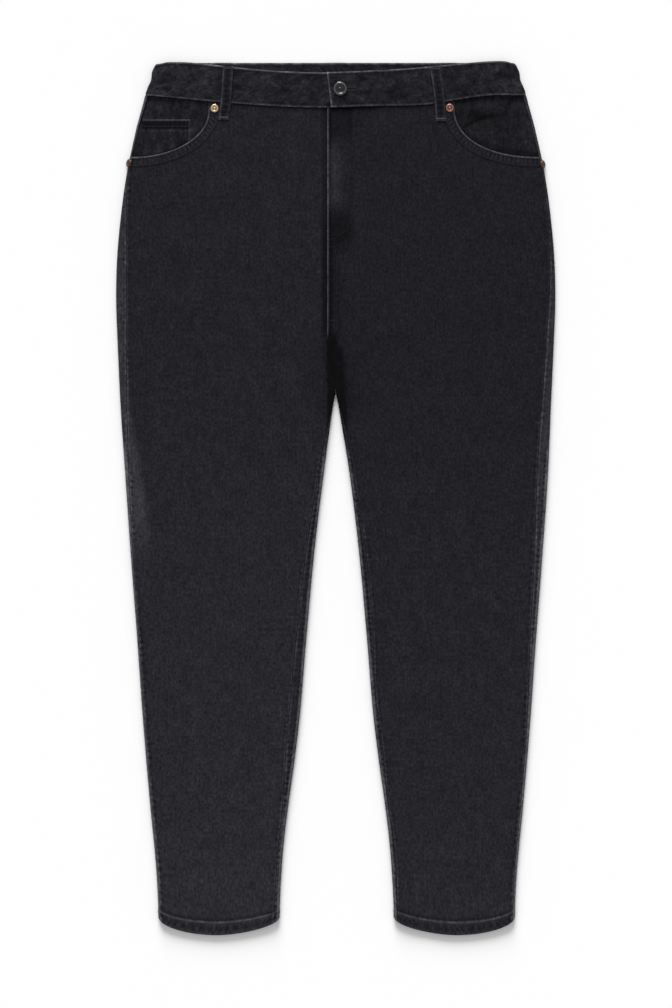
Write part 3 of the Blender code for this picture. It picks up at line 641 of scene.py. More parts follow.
def front_places(side):
    """A front's grid from above, with each place's distance in from the top edge."""
    rows = []
    for y in leg_rows():
        x = front_columns(side, y)
        rows.append((x, np.full(len(x), y), np.full(len(x), FAR), np.zeros(len(x))))
    edge, number = front_top_edge(side)
    ledge, from_corner = top_offsets(edge, number, STRIP_STEPS[0])
    base = front_columns(side, LEG_TOP, FINER)
    start = np.stack([base, np.full(len(base), LEG_TOP)], axis=-1)
    rise = ledge[:, 1:] - LEG_TOP
    arrive = (edge - ledge) / np.hypot(*(edge - ledge).T)[:, None] * rise * 0.6
    edge_columns = (len(EDGE_STEPS) - 1) * FINER
    inner, outer = edge_columns + 1, len(base) - edge_columns
    for step in range(1, BEND_ROWS + len(STRIP_STEPS)):
        if step <= BEND_ROWS:
            share = step / BEND_ROWS
            line = start + (ledge - start) * ease(0.0, 1.0, share) + arrive * share**2 * (share - 1)
            line[:, 1] += rise[:, 0] * share * (1 - share) ** 2
            top = STRIP_STEPS[0] + (1 - share) * rise[:, 0]
        else:
            depth = STRIP_STEPS[step - BEND_ROWS]
            line, _ = top_offsets(edge, number, depth)
            top = np.full(len(line), depth)
        x, y = line.T.copy()
        x[outer:] = front_seam_x(side, y[outer:]) + base[outer:] - base[-1]
        x[:inner] = front_middle_x(side, y[:inner]) + base[:inner] - base[0]
        stride = 2 if step == 1 else 1
        rows.append([part[::stride] for part in (x, y, top, from_corner)])
    x, y, top, along = joined(rows)
    return [row[0] for row in rows], Places(x, y, top, along, along > 0)


def fly_path(offset):
    """A row of the fly's stitches, down beside the opening and round to the front's edge."""
    x, foot = FLY_ROWS[1] - offset, FLY_FOOT + offset
    end_x = CENTRE_FRONT[0][1] + EDGE_ROW
    down = np.linspace(FLY_HEAD, foot + FLY_CURVE, 60)
    turn = np.linspace(0.0, math.pi / 2, 40)[1:]
    across = np.concatenate([np.full(len(down), x), end_x + (x - end_x) * np.cos(turn)])
    up = np.concatenate([down, foot + FLY_CURVE * (1 - np.sin(turn))])
    return across, up


def path_distance(across, up, x, y):
    """Distance to a path's nearest point, and how far along the path that is."""
    distance, along = np.full(x.shape, FAR), np.zeros(x.shape)
    for px, py, at in zip(across, up, run_along(across, up)):
        here = np.hypot(x - px, y - py)
        nearer = here < distance
        distance = np.where(nearer, here, distance)
        along = np.where(nearer, at, along)
    return distance, along


TONE = (  # place up the garment, how light the cloth is washed there
    (525.0, 1.02), (400.0, 1.0), (240.0, 1.0), (120.0, 1.04), (0.0, 1.15), (-120.0, 1.25),
    (-290.0, 1.34), (-420.0, 1.45), (-490.0, 1.6), (-525.0, 1.72),
)
FADE_WEDGE = (  # place up the garment, inner side of the pale strip beside the right side seam
    (240.0, 251.4), (190.0, 251.6), (91.6, 244.4), (25.6, 233.6), (-27.0, 226.4), (-60.0, 224.0),
)


def wash(side, x, y):
    """How light the cloth is washed at a place, with painted shade in the hollow at the crotch."""
    tone = smooth(TONE, y) * (1.03 if side.sign < 0 else 0.875)
    # Painted shade: the cloth is drawn darker in the hollow where the legs part.
    crotch_shade = hill(y, CROTCH + 10.0, 50.0) * hill(x, 0.0, 30.0)
    return tone * (1 - 0.4 * crotch_shade)


def side_fade(side, x, y):
    """The pale strips beside the side seams."""
    beyond = ease(-1.0, 1.0, x - front_seam_x(side, y))
    if side.sign > 0:
        ends = 0.5 + span(y, -330.0, -240.0, 230.0, 330.0) + 1.2 * ease(390.0, 400.0, y)
        return 0.7 * beyond * ends
    wedge = ease(-4.0, 5.0, x - smooth(FADE_WEDGE, y)) * span(y, -100.0, -5.0, 170.0, 215.0)
    strip_light = beyond * ease(-60.0, 10.0, y) * (1 + 1.3 * ease(392.0, 400.0, y))
    light = 1.3 * wedge + 1.05 * strip_light * (1 - wedge)
    return light * (1 + 0.22 * unevenness(2.5 * x, 2.5 * y, 3.0))


def seam_look(distance, y, period, seed, strength):
    """Relief and tone of the puckered cloth beside a long seam: a pale line of wear at its edge, with
    painted highlight on the puckers' crests and painted shade in the hollows between them.
    """
    rope = roping(y, period, seed)
    strength = strength * (0.62 + 0.5 * roping(y, 67.0, seed + 1) + 0.3 * roping(y, 23.0, seed))
    near = hill(distance, 2.6, 2.4) * strength
    relief = round_off(distance, 1.2, 0.55) + near * (0.2 + 0.26 * rope)
    # The pale line of wear at the edge, made brighter on the puckers' crests as painted highlight.
    light = 2.0 * hill(distance, 1.0, 0.9) * (0.65 + 0.6 * rope) * strength
    # Painted shade in the hollow beside the seam, darkest between the puckers.
    dark = 0.8 * hill(distance, 3.2, 1.7) * np.clip(-rope + 0.3, 0.0, 1.2) * np.minimum(strength, 1.1)
    return relief, light - dark


def hem_look(x, rise):
    """Relief and fade of a turned hem, with its slanted roping."""
    rope = roping(x + 0.85 * rise, 6.6, 0.8)
    inside = hill(rise, 5.5, 4.2)
    relief = 0.35 * (1 - ease(11.3, 12.4, rise)) + 0.24 * rope * inside
    relief = relief + round_off(rise, 1.3, 1.0) - 0.22 * hill(rise, HEM_STITCHES, 0.7)
    light = 0.9 * hill(rise, 0.6, 0.9) * (1 + rope) - 0.55 * hill(rise, 13.9, 1.5)
    light = light + (0.5 * rope + 0.3 * roping(x, 11.0, 5.0) - 0.3) * inside
    return relief, light + 2.1 * hill(rise, 11.7, 0.8) * (0.8 + 0.35 * roping(x, 17.0, 3.0))


def top_look(side, g):
    """Relief and tone along a front's top: the pocket's turned edge, with painted highlight and shade on
    its puckers and painted shade below its ledge, and a painted shadow below the band.
    """
    rope = roping(g.along, 4.9, 2.0 + side.sign)
    worn = 0.85 + 0.25 * roping(g.along, 19.0, side.sign)
    between_rows = hill(g.top, 6.4, 3.4)
    relief = 0.42 * (1 - ease(10.4, 11.8, g.top)) + round_off(g.top, 1.5, 0.75)
    relief = relief + 0.22 * rope * between_rows - hills(g.top, (0.16, 10.4, 0.8), (0.14, 2.2, 0.7))
    # Painted highlight on the puckers' crests between the rows, and painted shade in their hollows.
    light = (0.9 * np.clip(rope, 0, 1) - 0.6 * np.clip(-rope, 0, 1)) * between_rows
    light = light + worn * hills(g.top, (4.4, 0.7, 0.8), (0.5, 10.6, 0.8))
    # Painted shade below the turned edge's ledge; the cloth is also drawn darker just inside the pale
    # edge.
    light = light - hills(g.top, (0.4, 12.6, 1.5), (0.35, 2.9, 1.0))
    fold = roping(g.along, 13.0, 4.0 + side.sign)
    relief = np.where(g.pocket, relief, 0.12 * fold * hill(g.top, 2.0, 9.0))
    # Away from the pocket, a painted shadow just below the waistband.
    return relief, np.where(g.pocket, light, -0.5 * hill(g.top, 0.0, 3.4))


def fly_look(g):
    """Relief and fade of the left front over the fly and below it."""
    x, y = g.x, g.y
    distance, along = path_distance(*fly_path(ROW_SPACING / 2), x, y)
    rope = roping(along, 7.4, 3.1)
    inside = hill(distance, 0.0, 4.6)
    inner = 1 - ease(16.0, 22.0, x)
    ridge = hill(x, -1.0, 8.0) * span(y, 345.0, 362.0, 410.0, 428.0)
    groove = hill(x, FLY_ROWS[0] - 4.0, 1.6) * ease(330.0, 345.0, y)
    relief = (0.12 + 0.2 * rope) * inside - 0.2 * hill(distance, 4.8, 0.9) + 0.3 * ridge - 0.28 * groove
    # The groove where the fly's facing ends is also drawn darker, as painted shade.
    light = (0.34 * np.clip(rope, 0, 1) - 0.14) * inside + 0.85 * ridge - 0.22 * groove
    light = light + 0.2 * hill(x, 28.0, 3.0) * span(y, 320.0, 345.0, 420.0, 450.0)
    light = light - inner * (0.36 * ease(424.0, 440.0, y) + 0.5 * span(y, 290.0, 312.0, 334.0, 352.0))
    light = light - 0.25 * hill(x, 2.0, 9.0) * hill(y, 262.0, 34.0)
    from_edge = x - CENTRE_FRONT[0][1]
    below = span(y, 196.0, 214.0, FLY_FOOT - 8.0, FLY_FOOT + 16.0)
    rope = roping(y, 6.4, 1.1)
    double = below * (1 - ease(10.4, 11.8, from_edge))
    seam = double * hill(from_edge, 5.6, 3.4)
    relief = relief + 0.4 * double + 0.2 * rope * seam
    light = light + 0.3 * np.clip(rope, 0, 1) * seam - 0.12 * double
    dark = 0.3 * hill(from_edge, 12.6, 1.6) + 0.5 * hill(from_edge, 5.0, 2.6) * (0.8 - 0.5 * rope)
    return relief, light - below * dark


HOLLOW_REACH = (  # place up the left front, how far across it the dark hollow reaches
    (240.0, -8.0), (196.0, 0.5), (185.0, 4.6), (165.0, 9.0), (130.0, 11.2), (99.0, 13.4),
    (77.0, 14.2), (50.0, 15.0),
)


def crotch_look(side, g):
    """The hollow where the legs part, and the short folds that run into it, with painted shade in the
    hollow and a painted shadow beside the left front's edge.
    """
    x, y = side.sign * g.x, g.y
    # Painted shadow: the right front is drawn dark just beside the left front's edge; on the left front,
    # painted shade in the hollow.
    if side.sign < 0:
        dark = ease(-11.4, -9.8, x) * span(y, 60.0, 96.0, 190.0, 208.0)
    else:
        dark = (1 - ease(-1.5, 2.5, x - smooth(HOLLOW_REACH, y))) * span(y, 66.0, 100.0, 190.0, 208.0)
    hollow = hill(x, -0.5, 8.0) * span(y, 128.0, 145.0, 184.0, 212.0)
    fold = hill(x, 7.5, 2.6) * span(y, 136.0, 150.0, 176.0, 196.0)
    cross = hill(y, 161.0, 2.0) * hill(x, -1.0, 7.0)
    patch = hill(x, 1.5, 4.5) * hill(y, 160.0, 12.0)
    return -1.1 * hollow + 0.3 * fold + 0.25 * cross, -0.78 * dark + 0.12 * patch + 0.08 * cross


def middle_look(side, distance, y):
    """Relief and tone along a front's inner edge: the inseam, and the middle above it, with a painted
    highlight on the left front's edge and a painted shadow beside it on the right.
    """
    seam, seam_light = seam_look(distance, y, 6.8, 3.0 + side.sign, 0.9 + 0.1 * side.sign)
    if side.sign > 0:
        # The left front's folded edge is a pale line, partly wear and partly painted highlight.
        worn = 0.85 + 0.25 * roping(y, 31.0, 2.0)
        light = 5.5 * worn * hill(distance, 0.8, 0.8) * ease(188.0, 206.0, y)
        light = light - 0.4 * hill(distance, 4.0, 1.6) * ease(130.0, 150.0, y)
    else:
        # The right front is drawn dark beside the left front's edge: a painted shadow.
        fly_edge_shadow = 0.3 + 0.38 * ease(190.0, 204.0, y) - 0.26 * ease(318.0, 350.0, y)
        light = -fly_edge_shadow * (1 - ease(4.0, 8.0, distance)) * ease(130.0, 150.0, y)
    legs = on_legs(y)
    relief = seam * legs + round_off(distance, 1.5, 0.7) * (1 - legs)
    return relief, seam_light * (1 - ease(46.0, 84.0, y)) + light * (1 - legs)


def make_front(side, material):
    columns, g = front_places(side)
    strength = 0.5 + 0.5 * ease(40.0, 90.0, 160.0 - g.y) if side.sign > 0 else 0.8
    strength = strength + (0.9 - 0.7 * side.sign) * (1 - ease(-220.0, -90.0, g.y))
    looks = [
        seam_look(front_seam_x(side, g.y) - g.x, g.y, 8.2, 1.0 + side.sign, strength),
        middle_look(side, g.x - front_middle_x(side, g.y), g.y),
        hem_look(g.x, g.y - HEM),
        top_look(side, g),
        crotch_look(side, g),
    ]
    if side.sign > 0:
        looks.append(fly_look(g))
    look = [sum(kind) for kind in zip(*looks)]
    grid, cloth = (columns, g.x, g.y, True), cloth_at(g.x, g.y, PATCHES["front"] * side.sign)
    return make_panel("front", side, grid, wall_at(g.y), look, FRONT_FADES, cloth, material, "back")


# Backs and yokes

WRAP_EDGE = (0.0, 0.4, 1.0, 1.9, 3.0)
WRAP_STEPS = 14
BACK_STEPS = (0.0, 30.0, 57.0, 67.0, 115.0, 165.0, 213.0, 223.0, 260.0)
BACK_FLAT = 7.0  # between the flat columns
BACK_STEP = 2.7  # between its rows above the leg
POCKET_MARKS = (232.0, 242.2, 398.8, 408.8)  # ends of the ramps below and above the pockets
SEWN_GAP = 0.05  # between two panels where they are sewn together


def wrap_arcs(seam):
    """Lengths along a fold from a seam on the top to where the cloth is flat on the floor."""
    near = [seam - step for step in WRAP_EDGE]
    return np.array([*near, *np.linspace(near[-1], -QUARTER, WRAP_STEPS + 1)[1:]])


def flat_columns(low, high):
    """Places across the floor side, closer at a back pocket's edges."""
    found = []
    for a, b in zip(BACK_STEPS, BACK_STEPS[1:]):
        found += list(np.linspace(a, b, max(round((b - a) / BACK_FLAT), 2), endpoint=False))
    shares = np.array(found[1:]) / BACK_STEPS[-1]
    return low + (high - low) * shares


def side_wrap(side, y):
    """A row's places round the side fold: lengths along it, where from above and on the cut."""
    arcs = wrap_arcs(float(arc_of(smooth(side.side_seam, y))) - HALF_GAP)[::-1]
    outer = float(outer_edge(y))
    return arcs, outer - distance_of(arcs), outer - FOLD + QUARTER + arcs


def back_row(side, y):
    """Places, sides, cloth places and seam distances across a back, from seam to seam."""
    split = y <= CROTCH
    if split:
        inner = float(inner_edge(y))
        arcs = wrap_arcs(float(arc_of(smooth(side.inseam, y))) - HALF_GAP)
        inner_x = inner + distance_of(arcs)
        inner_u = inner + FOLD - (QUARTER + arcs)
    else:
        arcs = wrap_arcs(-HALF_GAP)
        inner_x = HALF_GAP + distance_of(arcs) - float(distance_of(arcs[0]))
        inner_u = inner_x
    outer_arcs, outer_x, outer_u = side_wrap(side, y)
    low, high = float(inner_x[-1]), float(outer_x[0])
    flat = flat_columns(low, high) if split else fixed_columns(low, high, y)
    far = np.full(len(flat), FAR)
    x = np.concatenate([inner_x, flat, outer_x])
    upper = np.concatenate([(arcs > 0) & split, far < 0, outer_arcs > 0])
    cloth = np.concatenate([inner_u, flat, outer_u])
    from_inseam = np.concatenate([arcs[0] - arcs, far, np.full(len(outer_arcs), FAR)])
    from_side = np.concatenate([np.full(len(arcs), FAR), far, outer_arcs[-1] - outer_arcs])
    return x, upper, cloth, from_inseam, from_side


def fixed_columns(low, high, y):
    """The floor side's columns above the crotch, which stand still where a pocket is."""
    spread = flat_columns(low, high)
    steady = flat_columns(0.0, BACK_STEPS[-1])
    steady = np.minimum(steady, high - 0.3 * np.arange(len(steady), 0, -1))
    share = float(ease(150.0, 232.0, y))
    return spread + (steady - spread) * share


def back_rows():
    below = [y for y in leg_rows() if y < LEG_TOP - 1]
    above = np.arange(LEG_TOP, POCKET_MARKS[-1] + 0.2, BACK_STEP)
    return sorted({*below, *POCKET_MARKS, *above})


def make_back(side, material):
    rows = []
    for level in [*back_rows(), YOKE_SIDE]:
        x, upper, u, from_inseam, from_side = back_row(side, level)
        y = np.full(len(x), float(level))
        if level == YOKE_SIDE:
            y = straight(YOKE_SEAM, x) + HALF_GAP - SEWN_GAP
        cloth = cloth_at(u, y, PATCHES["back"] * side.sign)
        rows.append((x, y, upper, from_inseam, from_side, cloth))
    x, y, upper, from_inseam, from_side, cloth = joined(rows)
    seed = 4.0 + side.sign
    seam, seam_light = seam_look(from_side, y, 8.2, seed, 0.8)
    inseam, inseam_light = seam_look(from_inseam, y, 6.8, seed + 2, 1.0)
    hem, hem_light = hem_look(x, y - HEM)
    rim, _, _ = edge_distance(x, y)
    # Painted shade between the puckers along the fold.
    pucker_shade = np.clip(0.4 - roping(y, 6.8, seed + 2), 0.0, 1.2)
    patchy = 0.75 + 0.3 * roping(y, 13.0, seed) + 0.35 * roping(y, 71.0, seed)
    # A pale line of wear along the fold, less the painted shade between the puckers.
    worn = 5.5 * hill(rim, 1.8, 1.4) * patchy - 1.1 * hill(rim, 4.4, 1.5) * pucker_shade
    legs = on_legs(y)
    # Painted shade in the hollow where the legs part.
    hollow = ease(60.0, 96.0, y) * legs * (1 - ease(0.0, 5.0, x - inner_edge(y)))
    relief = seam + inseam * legs
    waves = abs(creases(BACK_CREASES, x, y)) * ease(4.0, 20.0, rim)
    waves = waves + 0.12 * (1 + unevenness(x, y, 5.0 + side.sign))
    relief = np.where(upper, relief + hem, np.minimum(relief, 0.0) - waves)
    light = seam_light + inseam_light * legs + hem_light - 0.7 * hollow
    light = light + worn * upper * (1 - ease(44.0, 72.0, y))
    grid, look, wall = ([row[0] for row in rows], x, y, upper), (relief, light), wall_at(y)
    return make_panel("back", side, grid, wall, look, BACK_FADES, cloth, material, "back_pocket")


def loop_columns():
    """Places across where the underside's ramps beside the back loops begin and end."""
    half = LOOP_WIDTH / 2 + PAD_ROOM
    beside = max(BACK_LOOPS.values())
    around = [beside + sign * half + sign * ramp for sign in (-1, 1) for ramp in (0, LOOP_RAMP)]
    return sorted([half, half + LOOP_RAMP, *around])


def between(places, step):
    """More places between the given ones, no further apart than the step."""
    found = []
    for a, b in zip(places, places[1:]):
        found += list(np.linspace(a, b, max(math.ceil((b - a) / step), 1), endpoint=False))
    return np.array([*found, places[-1]])


def make_yoke(side, material):
    columns = between(sorted([HALF_GAP, *loop_columns(), 90.0, 185.0, 215.0]), 6.0)
    low = BACK_LOOP_SPAN[0] - PAD_ROOM
    bottom, top = YOKE_SIDE, YOKE_TOP
    rows = []
    for level in between([bottom, low - LOOP_RAMP, low, top], 2.6):
        arcs, outer_x, outer_u = side_wrap(side, level)
        x, u = np.concatenate([columns, outer_x]), np.concatenate([columns, outer_u])
        start = straight(YOKE_SEAM, x) + HALF_GAP
        end = smooth(BACK_WAIST_SEAM, x) + BAND_GAP / 2 - SEWN_GAP
        share = (level - bottom) / (top - bottom)
        y = level + (start - bottom) * (1 - ease(0.0, 0.45, share))
        y = y + (end - top) * ease(0.72, 1.0, share)
        far = np.full(len(columns), FAR)
        upper = np.concatenate([far < 0, arcs > 0])
        from_side = np.concatenate([far, arcs[-1] - arcs])
        rows.append((x, y, upper, from_side, cloth_at(u, y, PATCHES["yoke"] * side.sign)))
    x, y, upper, from_side, cloth = joined(rows)
    relief, light = seam_look(from_side, y, 8.2, 6.0, 0.7)
    look = (np.where(upper, relief, np.minimum(relief, 0.0)), light)
    grid = ([row[0] for row in rows], x, y, upper)
    return make_panel("yoke", side, grid, WALL, look, YOKE_FADES, cloth, material, "back")


# Inside the pockets and the fly


def facing_crease(side, x, y):
    """The arc-shaped fold of the left pocket's facing."""
    if side.sign < 0:
        return 0.0 * x
    arc = 444.4 + 15.5 * np.sin(np.clip((x - 150.0) / 52.0, 0.0, 1.0) * math.pi / 2)
    return hill(y, arc, 2.0) * span(x, 150.0, 156.0, 185.0, 212.0)


def make_facing(side, material):
    """The cloth that shows inside a front pocket's opening, and goes on under the front."""
    pocket = side.pocket
    reach_x, reach_y = pocket.across + FACING_REACH, pocket.down + FACING_REACH
    xs, ys = [], []
    for turn in np.linspace(0.0, math.pi / 2, 60):
        x = pocket.centre_x - reach_x * math.cos(turn)
        bottom = pocket.centre_y - reach_y * math.sin(turn)
        heights = np.linspace(bottom, float(front_waist(side, x)) - BAND_GAP / 2, 44)
        limit = np.maximum(outer_edge(heights) - FOLD - GAP, front_seam_x(side, heights) - 0.4)
        xs.append(np.minimum(x, limit) if x < outer_edge(bottom) - FOLD - GAP else limit)
        ys.append(heights)
    x, y = np.array(xs), np.array(ys)
    crease = facing_crease(side, x, y)
    depth = y - pocket_edge(pocket, x)
    shown = depth > 2.0
    soft = 0.16 * unevenness(1.6 * x, 1.6 * y, 7.0) * shown
    z = front_height(side, x, y) - WALL - UNDER_GAP - 0.5 * crease + soft - 0.16
    outer, inner = placed(side, x, y, z), placed(side, x, y, z - FACING_WALL)
    # Painted shade: the facing is drawn darker close under the pocket's edge.
    fade = (0.97 if side.sign < 0 else 0.74) * (0.6 + 0.4 * ease(1.0, 12.0, depth))
    # Painted shade in the arc-shaped fold.
    fade = fade * (1 - 0.75 * crease) * (1 + 0.3 * ease(215.0, 236.0, x))
    slope = roping(x + 1.6 * (y - 470.0), 8.5, 1.0) * ease(455.0, 470.0, y) * shown
    fade = fade * (1 + 0.26 * slope + 0.26 * unevenness(2.2 * x, 2.2 * y, 3.0))
    # Painted shade where the left pocket gapes.
    if side.sign > 0:
        fade = fade * (1 - 0.6 * hill(y, 457.0, 8.0) * hill(x, 170.0, 20.0))
    name, under = f"facing_{side.name}", [f"back_{side.name}"]
    cloth = cloth_at(x, y, PATCHES["facing"] * side.sign)
    return make_cloth(name, outer, inner, fade, cloth, material, under, f"pocket_{name}", "denim_facing")


def make_coin_pocket(material):
    inner_side, outer_side, top = COIN_POCKET
    x = between([inner_side, inner_side + 1.5, outer_side], 1.4)[:, None] * np.ones(30)
    shares = np.sort(1 - np.concatenate([[0, 0.015, 0.04], np.linspace(0.08, 1.0, 27)]))
    bottom = pocket_edge(RIGHT_POCKET, x[:, :1]) + COIN_CLEAR
    y = bottom + (top - bottom) * shares
    from_top, from_side = top - y, x - inner_side
    rope = roping(x, 5.2, 1.2)
    hem = 1 - ease(9.6, 10.8, from_top)
    relief = 0.35 * hem + 0.12 * rope * hill(from_top, 5.0, 3.5)
    relief = relief + round_off(from_top, 1.2, 0.6) + round_off(from_side, 1.2, 0.6)
    z = front_height(RIGHT, x, y) - WALL - UNDER_GAP + GAP - 0.1
    light = hills(from_top, (4.2, 0.8, 0.8), (-0.3, 11.3, 1.0), (1.6, 13.2, 0.8))
    light = light + 2.6 * hill(from_side, 0.7, 0.8) + (0.12 * rope - 0.6) * hem
    fade = 0.84 * (1 + light - 0.6 * hill(from_side, 6.0, 9.0) * hill(from_top, 32.0, 9.0))
    outer = placed(RIGHT, x, y, z + FACING_WALL * 0.8 + relief)
    inner, cloth = placed(RIGHT, x, y, z), cloth_at(x, y, PATCHES["coin_pocket"])
    return make_cloth("coin_pocket", outer, inner, fade, cloth, material, ["pocket_facing_right"])


def make_fly_shield(material):
    left, right, bottom, top = SHIELD
    x = between([left, right], 4.0)[:, None] * np.ones(60)
    y = np.linspace(bottom, top, 60)[None, :] * np.ones(x.shape)
    z = smooth(MIDDLE_HEIGHT, y) - WALL - UNDER_GAP - 0.3
    outer, inner = placed(LEFT, x, y, z), placed(LEFT, x, y, z - WALL)
    fade, cloth = np.full(x.shape, 0.7), cloth_at(x, y, PATCHES["fly_shield"])
    return make_cloth("fly_shield", outer, inner, fade, cloth, material, ["back_right", "back_left"])


# Waistband and loops

BAND_SHARES = np.array([0, 0.01, 0.025, 0.05, 0.09, 0.14, *np.linspace(0.2, 0.8, 13)])
BAND_SHARES = np.concatenate([BAND_SHARES, 1 - BAND_SHARES[5::-1]])
FLAP_STEPS = (0.0, 0.4, 1.0, 1.9, 3.2, 5.0)  # in from the flap's end


def band_height(x, lap):
    """Height of the waistband's front face, on its lap or beside it."""
    inward = float(outer_edge(500.0)) - abs(x)
    middle = MIDDLE_HEIGHT[0][1] + BAND_RISE
    puff = 1 - ease(BAND_FOLD, PUFF, inward)
    lift = FLAP_LIFT * (1 - ease(FLAP_FLAT, FLAP_DOWN, x)) * lap
    return middle + (2 * BAND_FOLD - middle) * puff + lift


def band_edges(x, upper):
    """The waistband's lower and upper edges at a place across."""
    dip = TOP_DIP * ease(200.0, 226.0, abs(x)) ** 2
    if upper:
        return smooth(FRONT_WAIST_SEAM, x) + BAND_GAP / 2, smooth(FRONT_TOP, x) - dip
    low = smooth(BACK_WAIST_SEAM, abs(x)) + BAND_GAP / 2
    return low, BACK_TOP - dip


def band_flat(x, upper, lap, share, wall, relief):
    """Points of the waistband between its folds, at these shares of the way up it."""
    low, high = band_edges(x, upper)
    y = low + (high - low) * share
    x = np.broadcast_to(x, y.shape)
    if upper:
        return np.stack([x, y, band_height(x, lap) - wall + relief], axis=-1)
    return np.stack([x, y, FLOOR_CLEAR + pad_height(x, y) + wall - relief], axis=-1)


def band_fold(sign, turn, share, wall, relief):
    """Points of the waistband on a fold, turned from facing up (90) to facing down (-90)."""
    side_x = sign * BAND_CORNER
    front, back = band_edges(side_x, True), band_edges(side_x, False)
    mix = (1 + math.sin(math.radians(turn))) / 2
    low = back[0] + (front[0] - back[0]) * mix
    high = back[1] + (front[1] - back[1]) * mix
    y = low + (high - low) * share
    radius = BAND_FOLD - wall + relief
    squash = 1 - FLOOR_CLEAR / BAND_FOLD * (1 - mix)
    x = outer_edge(y) - BAND_FOLD + radius * math.cos(math.radians(turn))
    z = BAND_FOLD + radius * squash * math.sin(math.radians(turn))
    return np.stack(np.broadcast_arrays(sign * x, y, z), axis=-1)


BAND_CREASES = (  # on the front of the band
    Crease(10.0, 489.0, 34.0, 493.0, 1.0, 1.3, -0.45),
    Crease(14.0, 487.0, 44.0, 484.0, -1.5, 1.6, -0.5),
    Crease(16.0, 494.0, 40.0, 501.0, 1.5, 1.5, -0.35),
    Crease(24.0, 488.0, 58.0, 491.0, 1.5, 1.8, 0.35),
    Crease(186.0, 514.0, 212.0, 507.0, 2.0, 2.6, 0.6),
    Crease(192.0, 506.0, 218.0, 498.0, 2.0, 2.2, -0.55),
    Crease(178.0, 502.0, 206.0, 496.0, -2.0, 2.4, 0.4),
    Crease(-214.0, 500.0, -190.0, 492.0, -2.0, 2.4, 0.4),
    Crease(-206.0, 512.0, -176.0, 506.0, 2.0, 2.8, 0.35),
    Crease(-60.0, 478.0, -46.0, 492.0, 1.0, 1.8, -0.35),
    Crease(-92.0, 492.0, -70.0, 500.0, 1.0, 2.2, 0.3),
    Crease(76.0, 496.0, 92.0, 486.0, 1.0, 2.0, 0.3),
)


def flap_end(share):
    """Place across of the flap's end, at these shares of the way up it."""
    return FLAP_END[0] + (FLAP_END[1] - FLAP_END[0]) * share


def band_look(run, x, y, share, height, on_front):
    """Relief and fade of the waistband, from how far it has run round and its share up."""
    low, high = share * height, (1 - share) * height
    rope, top_rope = roping(run + 0.8 * low, 7.2, 0.4), roping(run - 0.5 * high, 9.0, 2.4)
    mottle = np.sin(run / 3.1 + 1.3 * np.sin(low / 4.0)) * np.sin(low / 2.7 + run / 9.0)
    mottle = mottle + 0.8 * np.sin(run / 8.3 + 1.7 * np.sin(low / 9.0)) * np.sin(low / 6.1 + run / 17.0)
    ends = 1 + 1.2 * ease(140.0, 200.0, abs(x))
    low_edge, high_edge = ends * hill(low, 6.0, 5.0), ends * hill(high, 5.0, 4.0)
    relief = 0.24 * rope * low_edge + 0.13 * top_rope * high_edge + 0.07 * mottle
    relief = relief + round_off(low, 1.4, 0.8) + round_off(high, 1.8, 1.1)
    worn = 0.85 + 0.3 * roping(run, 23.0, 1.0)
    light = worn * (5.5 * hill(low, 0.9, 0.75) + 5.0 * hill(high, 0.9, 0.8))
    light = light - 0.35 * hill(low, 3.4, 1.3) - 0.3 * hill(high, 3.6, 1.3)
    light = light + 0.32 * rope * low_edge + 0.25 * top_rope * high_edge + 0.24 * mottle
    folds = creases(BAND_CREASES, x, y) * on_front
    return relief + folds, light + 0.35 * folds


def band_stations(share):
    """Functions for the points round the band, from the flap's end to the underlap's end."""
    level = np.ones(share.shape)
    turns = np.linspace(90, -90, 25)
    flap = [flap_end(share) + step for step in FLAP_STEPS]
    flap += [x * level for x in np.arange(2.0, 206.0, 2.6)]
    floor = between(sorted({0.0, 204.0, *loop_columns()}), 5.0)
    floor = sorted({-x for x in floor} | set(floor), reverse=True)
    under = -np.arange(-UNDERLAP_END, 206.0, 2.6)[::-1]
    found = [(band_flat, (x, True, True)) for x in flap]
    found += [(band_fold, (1, turn)) for turn in turns]
    found += [(band_flat, (x * level, False, False)) for x in floor]
    found += [(band_fold, (-1, turn)) for turn in turns[::-1]]
    return found + [(band_flat, (x * level, True, False)) for x in under]


def make_waistband(material):
    share = BAND_SHARES
    run, last, rows = np.zeros(share.shape), None, []
    for number, (place, at) in enumerate(band_stations(share)):
        plain = place(*at, share, 0.0, 0.0)
        if last is not None:
            run = run + np.hypot(*(plain - last).T[:2]) + 0.5 * abs((plain - last)[:, 2])
        last = plain
        x, y, _ = plain.T
        height = float(y[-1] - y[0])
        flat = place is band_flat
        on_front = flat and at[1]
        relief, light = band_look(np.full(share.shape, run.mean()), x, y, share, height, on_front)
        if flat and not on_front:
            relief = np.minimum(relief, 0.0)
        if flat and number < len(FLAP_STEPS) + 3:
            relief = relief + round_off(x - flap_end(share), 1.8, 1.1)
            light = light + 5.5 * hill(x - flap_end(share), 0.9, 0.9)
        under = round_off(share * height, 1.4, 0.7) + round_off((1 - share) * height, 1.8, 0.9)
        tone = 0.97 + 0.07 * np.clip(-x / 60.0, -1.0, 1.0) + 0.06 * ease(130.0, 190.0, abs(x))
        outer, inner = place(*at, share, 0.0, relief), place(*at, share, BAND_WALL, -under)
        fade = np.clip(tone * (1 + light), *FRONT_FADES)
        cloth = cloth_at(share * height, run, PATCHES["waistband"])
        rows.append((outer, inner, fade, cloth))
    rests_on = ["front_right", "front_left", "yoke_right", "yoke_left"]
    return make_cloth("waistband", *zip(*rows), material, rests_on)


